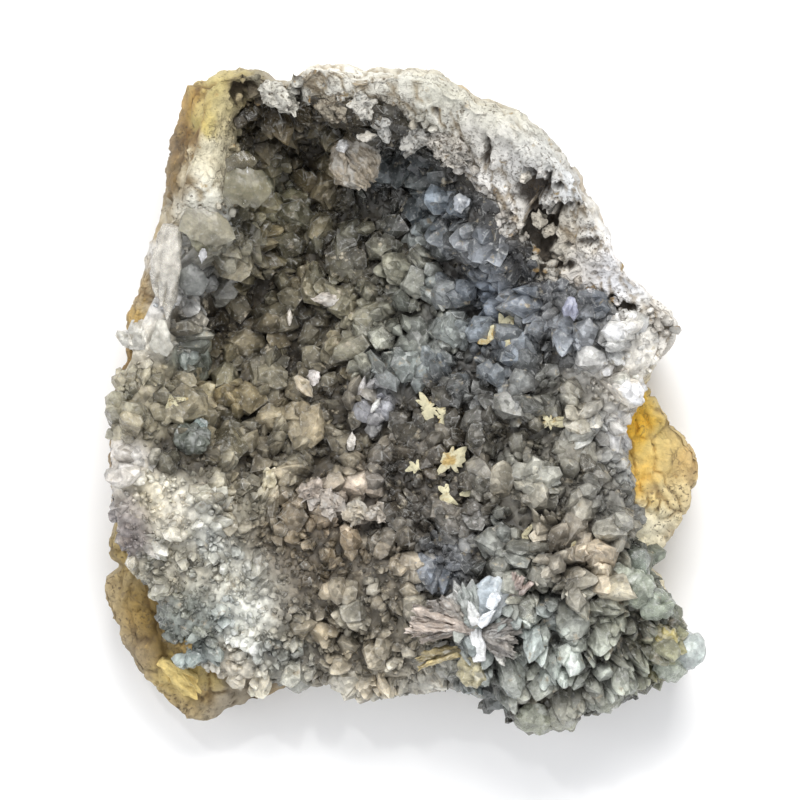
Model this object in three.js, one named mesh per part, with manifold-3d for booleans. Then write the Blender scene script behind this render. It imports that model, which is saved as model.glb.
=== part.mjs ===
// Celestite crystal cluster: a slab of pale host rock, broken round a hollow, with a crust of celestite
// crystals that lines the hollow and wraps over the lower edge. Millimetres, +Z up. The specimen lies on
// its back with the crystals facing up, and the origin is at the middle of the flat underside.
import * as THREE from "three";
import { ParametricGeometry } from "three/addons/geometries/ParametricGeometry.js";
import { mergeGeometries, mergeVertices } from "three/addons/utils/BufferGeometryUtils.js";
import Module from "manifold-3d";

const wasm = await Module();
wasm.setup();

// The rock.
const FOOT_INSET = 7; // the flat underside stops this far inside the outline
const LEAST_SHELF = 1; // the least width between the front edge and the widest outline
const SPOT_REACH = 5.5; // how far a spot height is felt
const LUMP_HEIGHT = 1.2; // broad unevenness of every broken face

// The crust and its crystals.
const CRUST_THICKNESS = 2.2; // massive celestite under the crystals
const CRUST_EDGE_THICKNESS = 1.2;
const CRUST_ROOT = 1.5; // how far the crust is built into the rock before it is cut clear
const CRUST_GAP = 0.3; // clearance between the crust and the rock
const GROWTH_TURN = 1.2; // radians that the crust's growth turns off upright over the rim
const TEETH_ACROSS = 33; // places across the crust, of which every third is a small crystal's tip
const TOOTH_LENGTH = 0.83; // a small crystal's length, as a share of the space between two places
const TOOTH_SPACE = 5; // the most of that space that counts
const TOOTH_STRAY = 0.2; // how far a place strays off the grid, as a share of that space
const TOOTH_LEAN = 0.25; // how strongly a small crystal follows the lean of its zone
const CRYSTAL_SPACING = 13.5; // between the large crystals
const CRYSTAL_LENGTH = 7.6;
const CRYSTAL_WIDTH = 8.4;
const CRYSTAL_ROOT = 4.2; // how far a crystal reaches below its foot
const CRYSTAL_RISE = 1.3; // how far its foot is above the rock
const CRYSTAL_SHOULDER = 0.42; // how far up its length a crystal is widest
const ROSETTE_RISE = 3.2; // how far the rosette's root is above the rock

// The broken upper edge of the slab, as seen from above: x, y, going round from the right.
const FRONT_EDGE = [
  [42.6, -9.2], [43.6, -2.2], [47.2, 4.2], [53.0, 11.6], [54.6, 15.8], [50.0, 20.5], [43.5, 26.0],
  [40.0, 32.0], [36.0, 40.0], [30.0, 47.5], [22.0, 55.0], [14.0, 58.5], [5.0, 63.5], [-2.0, 64.5],
  [-9.0, 64.0], [-14.0, 66.0], [-18.0, 66.0], [-21.6, 62.8], [-25.6, 62.6], [-28.5, 65.0], [-35.5, 64.8],
  [-38.5, 62.0], [-41.0, 50.0], [-44.5, 39.0], [-48.5, 31.0], [-52.5, 19.5], [-54.0, 9.0], [-56.5, -3.0],
  [-57.0, -12.0], [-56.2, -23.0], [-53.4, -31.2], [-47.4, -39.2], [-45.4, -47.2], [-40.4, -50.2],
  [-33.4, -54.0], [-24.0, -54.0], [-19.0, -52.0], [-13.0, -51.0], [-7.0, -54.0], [0.0, -53.0],
  [7.0, -52.5], [14.0, -53.0], [21.0, -54.0], [23.5, -58.0], [27.0, -59.0], [33.0, -55.0], [40.0, -52.0],
  [46.0, -49.0], [50.0, -45.0], [49.0, -40.0], [46.5, -34.0], [45.0, -28.0], [43.6, -19.2],
];

// The widest outline of the rock: beyond the front edge it shows as a lower shelf.
const ROCK_OUTLINE = [
  [60.0, -12.8], [59.2, -9.2], [53.0, -2.2], [48.6, 3.6], [52.6, 10.6], [55.4, 15.8], [51.6, 20.2],
  [46.0, 24.8], [43.0, 29.8], [41.2, 35.8], [37.6, 42.2], [32.0, 49.8], [28.6, 54.2], [23.6, 58.4],
  [15.2, 61.2], [6.0, 66.8], [-1.4, 67.2], [-8.4, 66.6], [-13.4, 68.2], [-18.0, 68.0], [-21.4, 64.8],
  [-25.4, 64.6], [-28.0, 67.0], [-36.0, 66.6], [-39.4, 65.0], [-43.2, 64.4], [-44.0, 58.8],
  [-46.4, 52.8], [-47.4, 43.8], [-47.8, 39.8], [-50.4, 31.8], [-54.2, 19.8], [-56.2, 8.8],
  [-58.8, -3.2], [-59.0, -12.2], [-58.2, -24.2], [-58.8, -28.2], [-57.2, -33.2], [-60.6, -36.2],
  [-59.8, -40.8], [-56.0, -47.2], [-52.4, -55.2], [-47.4, -61.2], [-42.4, -64.2], [-32.4, -61.2],
  [-23.4, -57.6], [-18.5, -56.9], [-13.8, -55.3], [-10.5, -59.6], [-2.0, -58.4], [6.0, -57.2],
  [14.4, -57.6], [19.3, -59.4], [26.6, -66.2], [31.4, -64.4], [35.7, -61.8], [40.7, -60.3],
  [45.4, -58.2], [50.1, -55.7], [55.6, -53.7], [59.6, -50.1], [54.1, -39.3], [50.5, -32.5],
  [51.0, -31.0], [54.6, -27.2], [57.6, -21.2], [60.0, -16.2],
];

// Spot heights of the rock's upper face: x, y, z.
const SPOT_HEIGHTS = [
  // Outer rim, from the upper left round to the right tip.
  [-43, 62, 38], [-35, 62, 41], [-28, 63, 42], [-18, 66, 45], [-6, 65, 46], [8, 62, 47], [22, 55, 46],
  [32, 45, 44], [40, 32, 41], [47, 21, 37], [54, 16, 32],
  // Pitted slope inside the rim.
  [-20, 60, 44], [-10, 57.5, 43], [-1, 57, 41], [9, 50, 37], [18, 42, 33], [28, 32, 31], [36, 23, 31],
  [43, 17, 30],
  // Deep floor under the upper lip.
  [-27, 55, 16], [-22, 50, 13], [-14, 45, 12], [-12, 50, 17], [-4, 44, 14], [4, 42, 17], [-24, 38, 12],
  // Left rim.
  [-39, 54, 40], [-37, 43, 39], [-41, 34, 35], [-48, 23, 33], [-51, 12, 31], [-54, 3, 30], [-56, -6, 29],
  [-54, -16, 30], [-51, -25, 28], [-44, -11, 28], [-41, -19, 28],
  // Left side of the hollow.
  [-36, 22, 12], [-33, 10, 10], [-35, -1, 12], [-23, 15, 14], [-27, 1, 14], [-27, -9, 17],
  // Middle of the hollow.
  [-11, 20, 16], [-2, 32, 16], [-1, 10, 19], [15, 20, 19], [27, 11, 25], [9, -4, 22], [-10, -4, 19],
  // Right side.
  [31, -6, 25], [39, 5, 27], [42, -8, 26], [40, -20, 27],
  // Lower part, where the crust bulges forward.
  [-10, -20, 23], [10, -20, 25], [27, -24, 27], [-20, -32, 24], [0, -36, 26], [15, -44, 29],
  [31, -40, 30], [44, -40, 28], [54, -48, 22], [35, -52, 26], [26, -60, 20], [8, -54, 22], [-8, -56, 20],
  [-20, -53, 20], [-30, -44, 24], [-40, -38, 25], [-36, -52, 18], [-50, -34, 22],
];

// The section's way from the front edge out to the widest outline: along, share of the shelf's width, share
// of the sudden drop, share of the rest of the drop.
const SHELF_PROFILE = [
  [1.0, 0.0, 0.0, 0.0], [1.1, 0.06, 0.5, 0.0], [1.2, 0.1, 1.0, 0.0],
  [1.35, 0.5, 1.0, 0.35], [1.5, 0.88, 1.0, 0.78], [1.6, 1.0, 1.0, 1.0],
];

// And from there in to the edge of the underside: along, inset in mm, share of the widest outline's height.
const FOOT_PROFILE = [
  [1.75, 0.8, 0.55], [1.9, 3.4, 0.17], [2.0, FOOT_INSET, 0.0],
];

// How high the widest outline lies, and how abruptly the front edge drops to it: bearing in degrees, height,
// share of the drop that is sudden.
const SIDE_SHAPE = [
  [-60, 17, 0.3], [-40, 16, 0.3], [-31, 17, 0.7], [-22, 19, 0.85], [-5, 18, 0.85], [6, 21, 0.4],
  [16, 24, 0.2], [40, 28, 0.12], [75, 32, 0.12], [105, 32, 0.2], [125, 26, 0.35], [160, 20, 0.4],
  [190, 18, 0.4], [208, 17, 0.45], [225, 15, 0.5], [243, 13, 0.4], [260, 14, 0.3], [285, 15, 0.3],
];

// How far the crust reaches along the face: bearing in degrees, share of the way to the front edge, with
// more than 1 where it wraps over the edge.
const CRUST_REACH = [
  [-38, 1.55], [-34, 1.4], [-28, 1.16], [-18, 1.1], [0, 1.03], [14, 0.95], [22, 0.88], [28, 0.85], [36, 0.76],
  [47, 0.68], [58, 0.69], [69, 0.72], [83, 0.8], [92, 0.86], [104, 0.89], [113, 0.94], [119, 0.86],
  [125, 0.76], [133, 0.78], [142, 0.88], [154, 0.93], [166, 0.97], [180, 1.0], [195, 1.05], [210, 1.1],
  [235, 1.14], [243, 1.16], [249, 1.42], [256, 1.5], [270, 1.5], [285, 1.55], [293, 1.6], [312, 1.6],
];

// The upper lip hangs over the hollow, and so does the left wall a little: bearing in degrees, overhang.
const OVERHANG = [
  [-60, 0], [20, 0], [60, 3], [80, 7], [112, 8], [128, 4], [150, 3], [185, 3], [215, 0],
];
const OVERHANG_MOST = 8;
const OVERHANG_LOW = 15; // below this height the wall is pushed out in full
const OVERHANG_HIGH = 40; // and at this height not at all
const OVERHANG_START = 0.35; // where along the section the push begins
const OVERHANG_FULL = 0.72;

// Larger pits in the pale slope: x, y, radius.
const PITS = [
  [28.5, 39.5, 2.3], [33.5, 31.0, 2.6], [26.0, 35.0, 1.5], [37.5, 27.5, 1.4], [31.0, 25.5, 1.5],
  [19.5, 47.5, 1.4], [14.0, 53.0, 1.1], [6.5, 56.5, 1.0], [-3.5, 61.0, 1.3], [-9.5, 59.5, 1.2],
  [38.0, 36.0, 1.1], [22.0, 29.5, 1.2],
];

// Zones of growth: x, y, reach, size, slimness, lean x, lean y. Size and slimness scale a crystal's length
// and width, and the lean is the way its tip points.
const GROWTH = [
  [-27, 8, 16, 1.05, 1.0, 0.25, -0.1],
  [-12, 45, 12, 0.95, 1.0, 0.0, -0.5],
  [12, 24, 16, 1.0, 0.9, 0.0, -0.1],
  [12, -8, 16, 0.95, 0.95, 0.1, 0.1],
  [40, 0, 12, 1.0, 0.9, 0.3, 0.1],
  [-40, -36, 14, 0.66, 1.0, 0.0, 0.0],
  [-10, -42, 14, 0.75, 1.0, 0.0, -0.2],
  [34, -46, 14, 1.25, 0.72, 0.25, -0.75],
];

// Single crystals that stand out from the crust: x, y, length, width, thickness, and the way the tip points
// as an azimuth in degrees and a tilt from upright in degrees.
const STANDOUT_CRYSTALS = [
  [-8.6, 47.5, 15.0, 11.5, 9.0, 255, 62], // large ribbed crystal under the upper lip
  [-5.5, 50.5, 8.0, 3.6, 2.6, 20, 70], // small blade on its shoulder
  [-30.4, 43.5, 8.5, 8.0, 6.0, 330, 60], // clear crystals on the left wall
  [-34.8, 32.5, 8.5, 7.0, 5.5, 290, 60],
  [-14.5, 21.8, 8.0, 4.2, 2.4, 175, 66], // two pale blades in the middle
  [-16.8, 4.2, 8.0, 3.8, 2.2, 305, 68],
];

// The radiating group in the lower part: blades that spread from one root. Azimuth and tilt in degrees,
// length, width, thickness.
const ROSETTE_ROOT = [13.6, -46.5];
const ROSETTE_BLADES = [
  [58, 58, 19.0, 8.6, 4.4],
  [104, 60, 15.5, 8.0, 4.0],
  [172, 64, 15.5, 7.6, 5.0],
  [205, 70, 11.0, 5.6, 4.0],
  [275, 72, 10.5, 6.0, 4.4],
  [350, 66, 12.0, 7.4, 5.0],
  [18, 62, 13.0, 6.6, 4.6],
];

const UP = new THREE.Vector3(0, 0, 1);
const TURN = 2 * Math.PI;
const radians = (degrees) => (degrees * Math.PI) / 180;
const blend = (a, b, share) => a + (b - a) * share;
const smooth = (low, high, value) => THREE.MathUtils.smoothstep(value, low, high);
const fraction = (value) => value - Math.floor(value);

// A number between 0 and 1 that looks random but is always the same for the same three numbers.
const scatter = (a, b, c) => fraction(43758.5453 * Math.sin(12.9898 * a + 78.233 * b + 37.719 * c));

// A closed curve as a function of the bearing, straight between its points. Each point is a bearing in
// radians and one value.
function round(points) {
  const ring = points.map(([bearing, value]) => [((bearing % TURN) + TURN) % TURN, value]);
  ring.sort((a, b) => a[0] - b[0]);
  ring.push([ring[0][0] + TURN, ring[0][1]]);
  return (bearing) => {
    const start = ring[0][0];
    const place = start + ((((bearing - start) % TURN) + TURN) % TURN);
    const next = ring.findIndex((point) => point[0] > place);
    const [b0, v0] = ring[next - 1];
    const [b1, v1] = ring[next];
    return blend(v0, v1, (place - b0) / (b1 - b0));
  };
}

const roundOutline = (points) => round(points.map(([x, y]) => [Math.atan2(y, x), Math.hypot(x, y)]));
const roundTable = (rows, column) => round(rows.map((row) => [radians(row[0]), row[column]]));

const frontReach = roundOutline(FRONT_EDGE);
const rockReach = roundOutline(ROCK_OUTLINE);
const shelfHeight = roundTable(SIDE_SHAPE, 1);
const edgeDrop = roundTable(SIDE_SHAPE, 2);
const crustReach = roundTable(CRUST_REACH, 1);
const overhang = roundTable(OVERHANG, 1);

// A wave with straight flanks, between -1 and 1, with the period of a sine.
const zigzag = (phase) => 4 * Math.abs(fraction(phase / TURN) - 0.5) - 1;

// Broad unevenness: crossed zigzag waves, which meet in flat facets and ledges, between about -1 and 1.
function lumps(x, y, z) {
  const broad = zigzag(0.31 * x + 0.17 * y + 0.4) * zigzag(0.23 * y - 0.21 * z + 1.3);
  const small = zigzag(0.57 * y + 0.43 * z - 0.33 * x) * zigzag(0.61 * x + 0.37 * z + 0.7);
  return 0.6 * broad + 0.4 * small;
}

// Height of the rock's upper face: the mean of the spot heights, each weighted by a bell curve of how far
// off it is.
function relief(x, y) {
  let total = 0;
  let weight = 0;
  for (const [spotX, spotY, height] of SPOT_HEIGHTS) {
    const near = Math.exp(-((x - spotX) ** 2 + (y - spotY) ** 2) / (2 * SPOT_REACH ** 2));
    total += near * height;
    weight += near;
  }
  return total / weight;
}

// The section's outer side at one bearing: rows of along, distance from the middle, height.
function outerSide(bearing) {
  const front = frontReach(bearing);
  const edge = relief(front * Math.cos(bearing), front * Math.sin(bearing));
  const widest = Math.max(rockReach(bearing), front + LEAST_SHELF);
  const low = shelfHeight(bearing);
  const sudden = edgeDrop(bearing);
  const shelf = SHELF_PROFILE.map(([along, out, first, rest]) => [
    along,
    blend(front, widest, out),
    blend(edge, low, first * sudden + rest * (1 - sudden)),
  ]);
  return [...shelf, ...FOOT_PROFILE.map(([along, inset, share]) => [along, widest - inset, share * low])];
}

// Place and height on a side made of such rows.
function onSide(rows, along) {
  const next = Math.max(1, rows.findIndex((row) => row[0] >= along));
  const [a0, r0, z0] = rows[next - 1];
  const [a1, r1, z1] = rows[next];
  const share = (along - a0) / (a1 - a0);
  return [blend(r0, r1, share), blend(z0, z1, share)];
}

// A section through the rock at one bearing. Along runs from 0 at the middle of the upper face, by 1 at the
// front edge and 2 at the edge of the flat underside, to 3 at the middle of the underside.
function section(bearing, along) {
  const [cos, sin] = [Math.cos(bearing), Math.sin(bearing)];
  if (along >= 2) {
    const foot = Math.max(rockReach(bearing), frontReach(bearing) + LEAST_SHELF) - FOOT_INSET;
    return new THREE.Vector3(foot * (3 - along) * cos, foot * (3 - along) * sin, 0);
  }
  let reach = along * frontReach(bearing);
  let height = relief(reach * cos, reach * sin);
  if (along <= 1) {
    const low = 1 - smooth(OVERHANG_LOW, OVERHANG_HIGH, height);
    reach += overhang(bearing) * smooth(OVERHANG_START, OVERHANG_FULL, along) * low;
  } else {
    [reach, height] = onSide(outerSide(bearing), along);
  }
  const uneven = LUMP_HEIGHT * lumps(reach * cos, reach * sin, height);
  const sideways = uneven * smooth(0.95, 1.3, along) * (1 - smooth(1.75, 2.0, along));
  const upward = uneven * (1 - smooth(1.2, 1.9, along));
  return new THREE.Vector3((reach + sideways) * cos, (reach + sideways) * sin, height + upward);
}

// A place on the rock under a point seen from above.
function below(x, y) {
  const bearing = Math.atan2(y, x);
  return { bearing, along: Math.hypot(x, y) / frontReach(bearing) };
}

// Outward normal of the rock at a bearing and a place along its section.
function outward(bearing, along) {
  const step = 0.02;
  const across = section(bearing + step, along).sub(section(bearing - step, along));
  const down = section(bearing, along + step).sub(section(bearing, Math.max(0, along - step)));
  if (across.lengthSq() < 1e-9) return UP.clone();
  return down.cross(across).normalize();
}

// The way the crust grows off the rock: the rock's normal inside the rim. Past the rim it turns evenly
// outward instead, so that the crust doesn't fold into the notch between the rim and the shelf.
function growing(bearing, along) {
  const slope = smooth(0.7, 1.5, along) * GROWTH_TURN;
  const dome = new THREE.Vector3(Math.sin(slope), 0, Math.cos(slope)).applyAxisAngle(UP, bearing);
  return outward(bearing, along).lerp(dome, smooth(0.85, 0.98, along)).normalize();
}

// A closed mesh, made of one vertex per place, as a solid that can be cut and joined.
function solid(geometry) {
  geometry.deleteAttribute("normal");
  geometry.deleteAttribute("uv");
  const merged = mergeVertices(geometry, 1e-4);
  const corners = merged.index.array;
  const kept = [];
  for (let i = 0; i < corners.length; i += 3) {
    const [a, b, c] = corners.slice(i, i + 3);
    if (a !== b && b !== c && c !== a) kept.push(a, b, c);
  }
  const made = new wasm.Manifold(
    new wasm.Mesh({
      numProp: 3,
      vertProperties: new Float32Array(merged.attributes.position.array),
      triVerts: new Uint32Array(kept),
    }),
  );
  if (made.volume() < 0) throw new Error("a solid is inside out");
  return made;
}

// The solid's own triangles, for a mesh to show.
function geometryOf(made) {
  const mesh = made.getMesh();
  const geometry = new THREE.BufferGeometry();
  geometry.setAttribute("position", new THREE.BufferAttribute(mesh.vertProperties, 3));
  geometry.setIndex(new THREE.BufferAttribute(mesh.triVerts, 1));
  geometry.computeVertexNormals();
  return geometry;
}

// Places along a section, closest together over the rim and the sides.
const ROCK_STATIONS = [
  0, 0.17, 0.34, 0.48, 0.6, 0.7, 0.78, 0.86, 0.93, 1.0, 1.1, 1.2, 1.35, 1.5, 1.6, 1.7, 1.82, 2.0, 3.0,
];
const BEARINGS = 60;
const FIRST_BEARING = radians(4); // puts the outline's sharp corners on the grid

// The rock's closed surface, every point moved out by the given clearance.
function rockSurface(clearance) {
  const stations = ROCK_STATIONS.length - 1;
  const place = (u, v, target) => {
    const bearing = fraction(u) * TURN + FIRST_BEARING;
    const along = ROCK_STATIONS[Math.round(v * stations)];
    target.copy(section(bearing, along));
    if (along > 0 && along < 2) target.addScaledVector(outward(bearing, along), clearance);
    if (along === 0) target.set(0, 0, target.z + clearance);
    if (along === 3) target.set(0, 0, 0);
  };
  return solid(new ParametricGeometry((u, v, target) => place(1 - u, v, target), BEARINGS, stations));
}

// A pit as a small faceted ball, a little flattened and sunk to just under its equator.
function pit([x, y, radius]) {
  const { bearing, along } = below(x, y);
  const ball = new THREE.IcosahedronGeometry(radius, 0);
  ball.scale(1, 1.15, 0.9);
  ball.rotateZ(x + y);
  ball.translate(x, y, section(bearing, along).z + 0.1 * radius);
  return solid(ball);
}

// Size, slimness and lean of the crystals at a place: the zones' mean, each weighted by a bell curve.
function growthAt(x, y) {
  const sum = [0, 0, 0, 0];
  let weight = 0;
  for (const [zoneX, zoneY, reach, ...values] of GROWTH) {
    const near = Math.exp(-((x - zoneX) ** 2 + (y - zoneY) ** 2) / (2 * reach ** 2));
    values.forEach((value, i) => (sum[i] += near * value));
    weight += near;
  }
  const [size, slim, leanX, leanY] = sum.map((value) => value / weight);
  return { size, slim, lean: new THREE.Vector3(leanX, leanY, 0) };
}

// A square grid laid over a disc: the place at a, b, each from -1 to 1, as a share of the way out and a
// bearing.
function onDisc(a, b) {
  const share = Math.max(Math.abs(a), Math.abs(b));
  if (share === 0) return { share, bearing: 0 };
  if (Math.abs(a) > Math.abs(b)) return { share, bearing: (Math.PI / 4) * (b / a) + (a < 0 ? Math.PI : 0) };
  return { share, bearing: Math.PI / 2 - (Math.PI / 4) * (a / b) + (b < 0 ? Math.PI : 0) };
}

// The space round a place of the crust's grid: the way to the next place out or in, whichever is less.
function spaceAt(bearing, along) {
  const step = (2 * crustReach(bearing)) / TEETH_ACROSS;
  const here = section(bearing, along);
  const outer = here.distanceTo(section(bearing, along + step));
  const inner = here.distanceTo(section(bearing, Math.abs(along - step)));
  return Math.min(outer, inner, TOOTH_SPACE);
}

// How far a place of the crust's grid is raised into a tip. Every third place is a tip, and some of those
// beside it are raised too, which makes a ridge of the point. Tips are low at the crust's edge and under the
// lip.
function toothHeight(kind, chance, share, bearing, along) {
  let raised = 0;
  if (kind === 0) raised = 0.75 + 0.5 * chance;
  if (kind === 1 && chance > 0.6) raised = 0.6 * chance;
  const atEdge = 1 - 0.7 * smooth(0.9, 1.0, share);
  const underLip = 1 - 0.8 * (overhang(bearing) / OVERHANG_MOST) * smooth(0.45, 0.6, along);
  return raised * TOOTH_LENGTH * spaceAt(bearing, along) * atEdge * underLip;
}

// The crust with its small crystals: a grid of triangles over the rock in which every third corner is a tip,
// so that each tip stands on six flat faces. Its root is built into the rock and cut clear afterwards.
function crustSheet() {
  const cells = TEETH_ACROSS;
  const place = (i, j, top, target) => {
    const inside = i > 0 && j > 0 && i < cells && j < cells;
    const stray = inside ? TOOTH_STRAY : 0;
    const a = (2 * (i + stray * (scatter(i, j, 1) - 0.5))) / cells - 1;
    const b = (2 * (j + stray * (scatter(i, j, 2) - 0.5))) / cells - 1;
    const { share, bearing } = onDisc(a, b);
    const along = share * crustReach(bearing);
    const normal = growing(bearing, along);
    target.copy(section(bearing, along));
    if (!inside) {
      target.addScaledVector(normal, CRUST_EDGE_THICKNESS);
      return;
    }
    if (!top) {
      target.addScaledVector(normal, -CRUST_ROOT);
      return;
    }
    const { lean } = growthAt(target.x, target.y);
    lean.x += 0.5 * (scatter(i, j, 4) - 0.5);
    lean.y += 0.5 * (scatter(i, j, 5) - 0.5);
    const kind = (i - j + 3 * cells) % 3;
    const chance = scatter(i, j, 3);
    const tall = toothHeight(kind, chance, share, bearing, along);
    const sunk = kind === 2 ? 0.5 * chance : 0;
    target.addScaledVector(normal, CRUST_THICKNESS - sunk + tall);
    target.addScaledVector(lean, TOOTH_LEAN * tall);
  };
  const index = (share) => Math.round(share * cells);
  const upper = (u, v, target) => place(index(u), index(v), true, target);
  const lower = (u, v, target) => place(index(v), index(u), false, target);
  return solid(
    mergeGeometries([upper, lower].map((surface) => new ParametricGeometry(surface, cells, cells))),
  );
}

// One crystal: a flat-sided spindle, standing on the origin along +Z with its root below.
function crystalShape(length, width, thickness, sides) {
  const outline = [
    new THREE.Vector2(0, -CRYSTAL_ROOT),
    new THREE.Vector2(width / 2, CRYSTAL_SHOULDER * length),
    new THREE.Vector2(0, length),
  ];
  const shape = new THREE.LatheGeometry(outline, sides);
  shape.rotateX(Math.PI / 2);
  shape.scale(1, thickness / width, 1);
  return shape;
}

// Sets a crystal at a place on the rock with its foot a rise above it, turned about its own axis and leaning
// off the normal.
function standing({ bearing, along, length, width, thickness, sides, spin, lean, rise = CRYSTAL_RISE }) {
  const shape = crystalShape(length, width, thickness, sides);
  const normal = outward(bearing, along);
  const axis = normal.clone().add(lean).normalize();
  shape.rotateZ(spin);
  shape.applyQuaternion(new THREE.Quaternion().setFromUnitVectors(UP, axis));
  const foot = section(bearing, along).addScaledVector(normal, rise);
  shape.translate(foot.x, foot.y, foot.z);
  return solid(shape);
}

// The large crystals, spread evenly over the crust by a golden-ratio sequence. Their sizes and turns vary by
// other steps of the same kind, so they never repeat.
const SPAN = [124, 138];
const SPREAD = [0.7548776662466927, 0.5698402909980532];
const VARY = { width: 0.6180339887, length: 0.4142135624, thickness: 0.3027756377 };
const TURNED = { tilt: 0.7320508076, way: 0.2360679775, spin: 0.1415926536 };

function largeCrystals() {
  const crystals = [];
  const tries = Math.round((SPAN[0] * SPAN[1]) / CRYSTAL_SPACING ** 2);
  for (let i = 1; i <= tries; i++) {
    const [x, y] = SPREAD.map((step, axis) => (fraction(0.5 + step * i) - 0.5) * SPAN[axis]);
    const { bearing, along } = below(x, y);
    if (along > 0.96 * crustReach(bearing) || along < 0.02) continue;
    const { size, slim, lean } = growthAt(x, y);
    const width = CRYSTAL_WIDTH * size * slim * (0.75 + 0.5 * fraction(VARY.width * i));
    const tilt = 0.35 + 0.35 * fraction(TURNED.tilt * i);
    const way = TURN * fraction(TURNED.way * i);
    lean.x += tilt * Math.cos(way);
    lean.y += tilt * Math.sin(way);
    crystals.push({
      bearing,
      along,
      length: CRYSTAL_LENGTH * size * (0.8 + 0.45 * fraction(VARY.length * i)),
      width,
      thickness: width * (0.55 + 0.35 * fraction(VARY.thickness * i)),
      sides: size > 0.9 ? 5 : 4,
      spin: TURN * fraction(TURNED.spin * i),
      lean,
    });
  }
  return crystals;
}

// The tip's direction off the normal for an azimuth and a tilt.
function leaning(azimuth, tilt) {
  return new THREE.Vector3(Math.tan(radians(tilt)), 0, 0).applyAxisAngle(UP, radians(azimuth));
}

function standoutCrystals() {
  return STANDOUT_CRYSTALS.map(([x, y, length, width, thickness, azimuth, tilt]) => ({
    ...below(x, y),
    length,
    width,
    thickness,
    sides: 6,
    spin: radians(azimuth),
    lean: leaning(azimuth, tilt),
  }));
}

function rosetteBlades() {
  return ROSETTE_BLADES.map(([azimuth, tilt, length, width, thickness]) => ({
    ...below(...ROSETTE_ROOT),
    rise: ROSETTE_RISE,
    length,
    width: thickness,
    thickness: width,
    sides: 6,
    spin: radians(azimuth),
    lean: leaning(azimuth, tilt),
  }));
}

const rockSolid = rockSurface(0).subtract(wasm.Manifold.union(PITS.map(pit)));

// The crust is cut clear of the rock, and loose splinters that the cut leaves are dropped.
const crystals = [...largeCrystals(), ...standoutCrystals(), ...rosetteBlades()].map(standing);
const crustCut = wasm.Manifold.union([crustSheet(), ...crystals]).subtract(rockSurface(CRUST_GAP));
const crustSolid = crustCut.decompose().sort((a, b) => b.volume() - a.volume())[0];

const cluster = new THREE.Group();

const rock = new THREE.Mesh(
  geometryOf(rockSolid),
  new THREE.MeshStandardMaterial({ color: 0xd8d0bb, roughness: 0.9, metalness: 0 }),
);
rock.name = "host_rock";

const crust = new THREE.Mesh(
  geometryOf(crustSolid),
  new THREE.MeshStandardMaterial({ color: 0x7d827c, roughness: 0.35, metalness: 0 }),
);
crust.name = "celestite_crust";

cluster.add(rock, crust);

export default cluster;
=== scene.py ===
"""Celestite crystal cluster: the finished surfaces of the specimen, its studio and its camera.

A slab of pale host rock lies on its back. It is broken round a hollow that a crust of celestite crystals
lines, and the crust wraps over the slab's lower edge. Shapes are worked out in millimetres, in the frame of
the solids: +Z up, with the origin at the middle of the flat underside.
"""

from __future__ import annotations

import logging
import math
from collections.abc import Callable, Sequence
from dataclasses import dataclass, field
from enum import Enum

import bpy
import numpy as np
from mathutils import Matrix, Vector


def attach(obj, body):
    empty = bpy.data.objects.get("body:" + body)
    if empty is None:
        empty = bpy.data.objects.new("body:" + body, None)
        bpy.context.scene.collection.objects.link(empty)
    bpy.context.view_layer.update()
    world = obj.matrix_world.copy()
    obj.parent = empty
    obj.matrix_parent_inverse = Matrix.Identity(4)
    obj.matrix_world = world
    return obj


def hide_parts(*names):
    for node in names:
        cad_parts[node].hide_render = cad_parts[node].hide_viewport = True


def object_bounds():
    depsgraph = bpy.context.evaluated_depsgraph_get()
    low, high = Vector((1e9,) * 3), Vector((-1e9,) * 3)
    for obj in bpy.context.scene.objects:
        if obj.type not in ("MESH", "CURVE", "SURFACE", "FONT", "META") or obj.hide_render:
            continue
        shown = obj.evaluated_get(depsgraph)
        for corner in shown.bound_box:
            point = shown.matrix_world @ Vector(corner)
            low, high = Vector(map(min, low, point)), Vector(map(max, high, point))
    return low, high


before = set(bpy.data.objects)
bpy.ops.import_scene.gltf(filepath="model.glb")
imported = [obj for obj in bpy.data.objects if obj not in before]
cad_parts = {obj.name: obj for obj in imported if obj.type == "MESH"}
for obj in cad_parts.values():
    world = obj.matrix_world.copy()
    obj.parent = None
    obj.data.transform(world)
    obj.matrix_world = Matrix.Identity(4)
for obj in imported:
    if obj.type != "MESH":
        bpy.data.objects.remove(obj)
cad_low, cad_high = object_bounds()

log = logging.getLogger("celestite")

# Plain names for the types that come up often.
Array = np.ndarray
Random = np.random.Generator
Socket = bpy.types.NodeSocket
Curve = Callable[[Array], Array]
Pair = tuple[float, float]
Triple = tuple[float, float, float]
Colour = tuple[int, int, int]
Rows = Sequence[tuple[float, ...]]

MM = 0.001
TURN = 2 * math.pi
UP = np.array([0.0, 0.0, 1.0])
SEED = 20


class Slot(Enum):
    """The record's material slots."""

    ROCK = "host_rock"
    CELESTITE = "celestite"


# The rock's form, by the same names and values as in the solid.
FOOT_INSET = 7.0
LEAST_SHELF = 1.0
SPOT_REACH = 5.5
LUMP_HEIGHT = 1.2
CRUST_THICKNESS = 2.2
CRUST_EDGE_THICKNESS = 1.2
GROWTH_TURN = 1.2
OVERHANG_LOW = 15.0
OVERHANG_HIGH = 40.0
OVERHANG_START = 0.35
OVERHANG_FULL = 0.72

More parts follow.
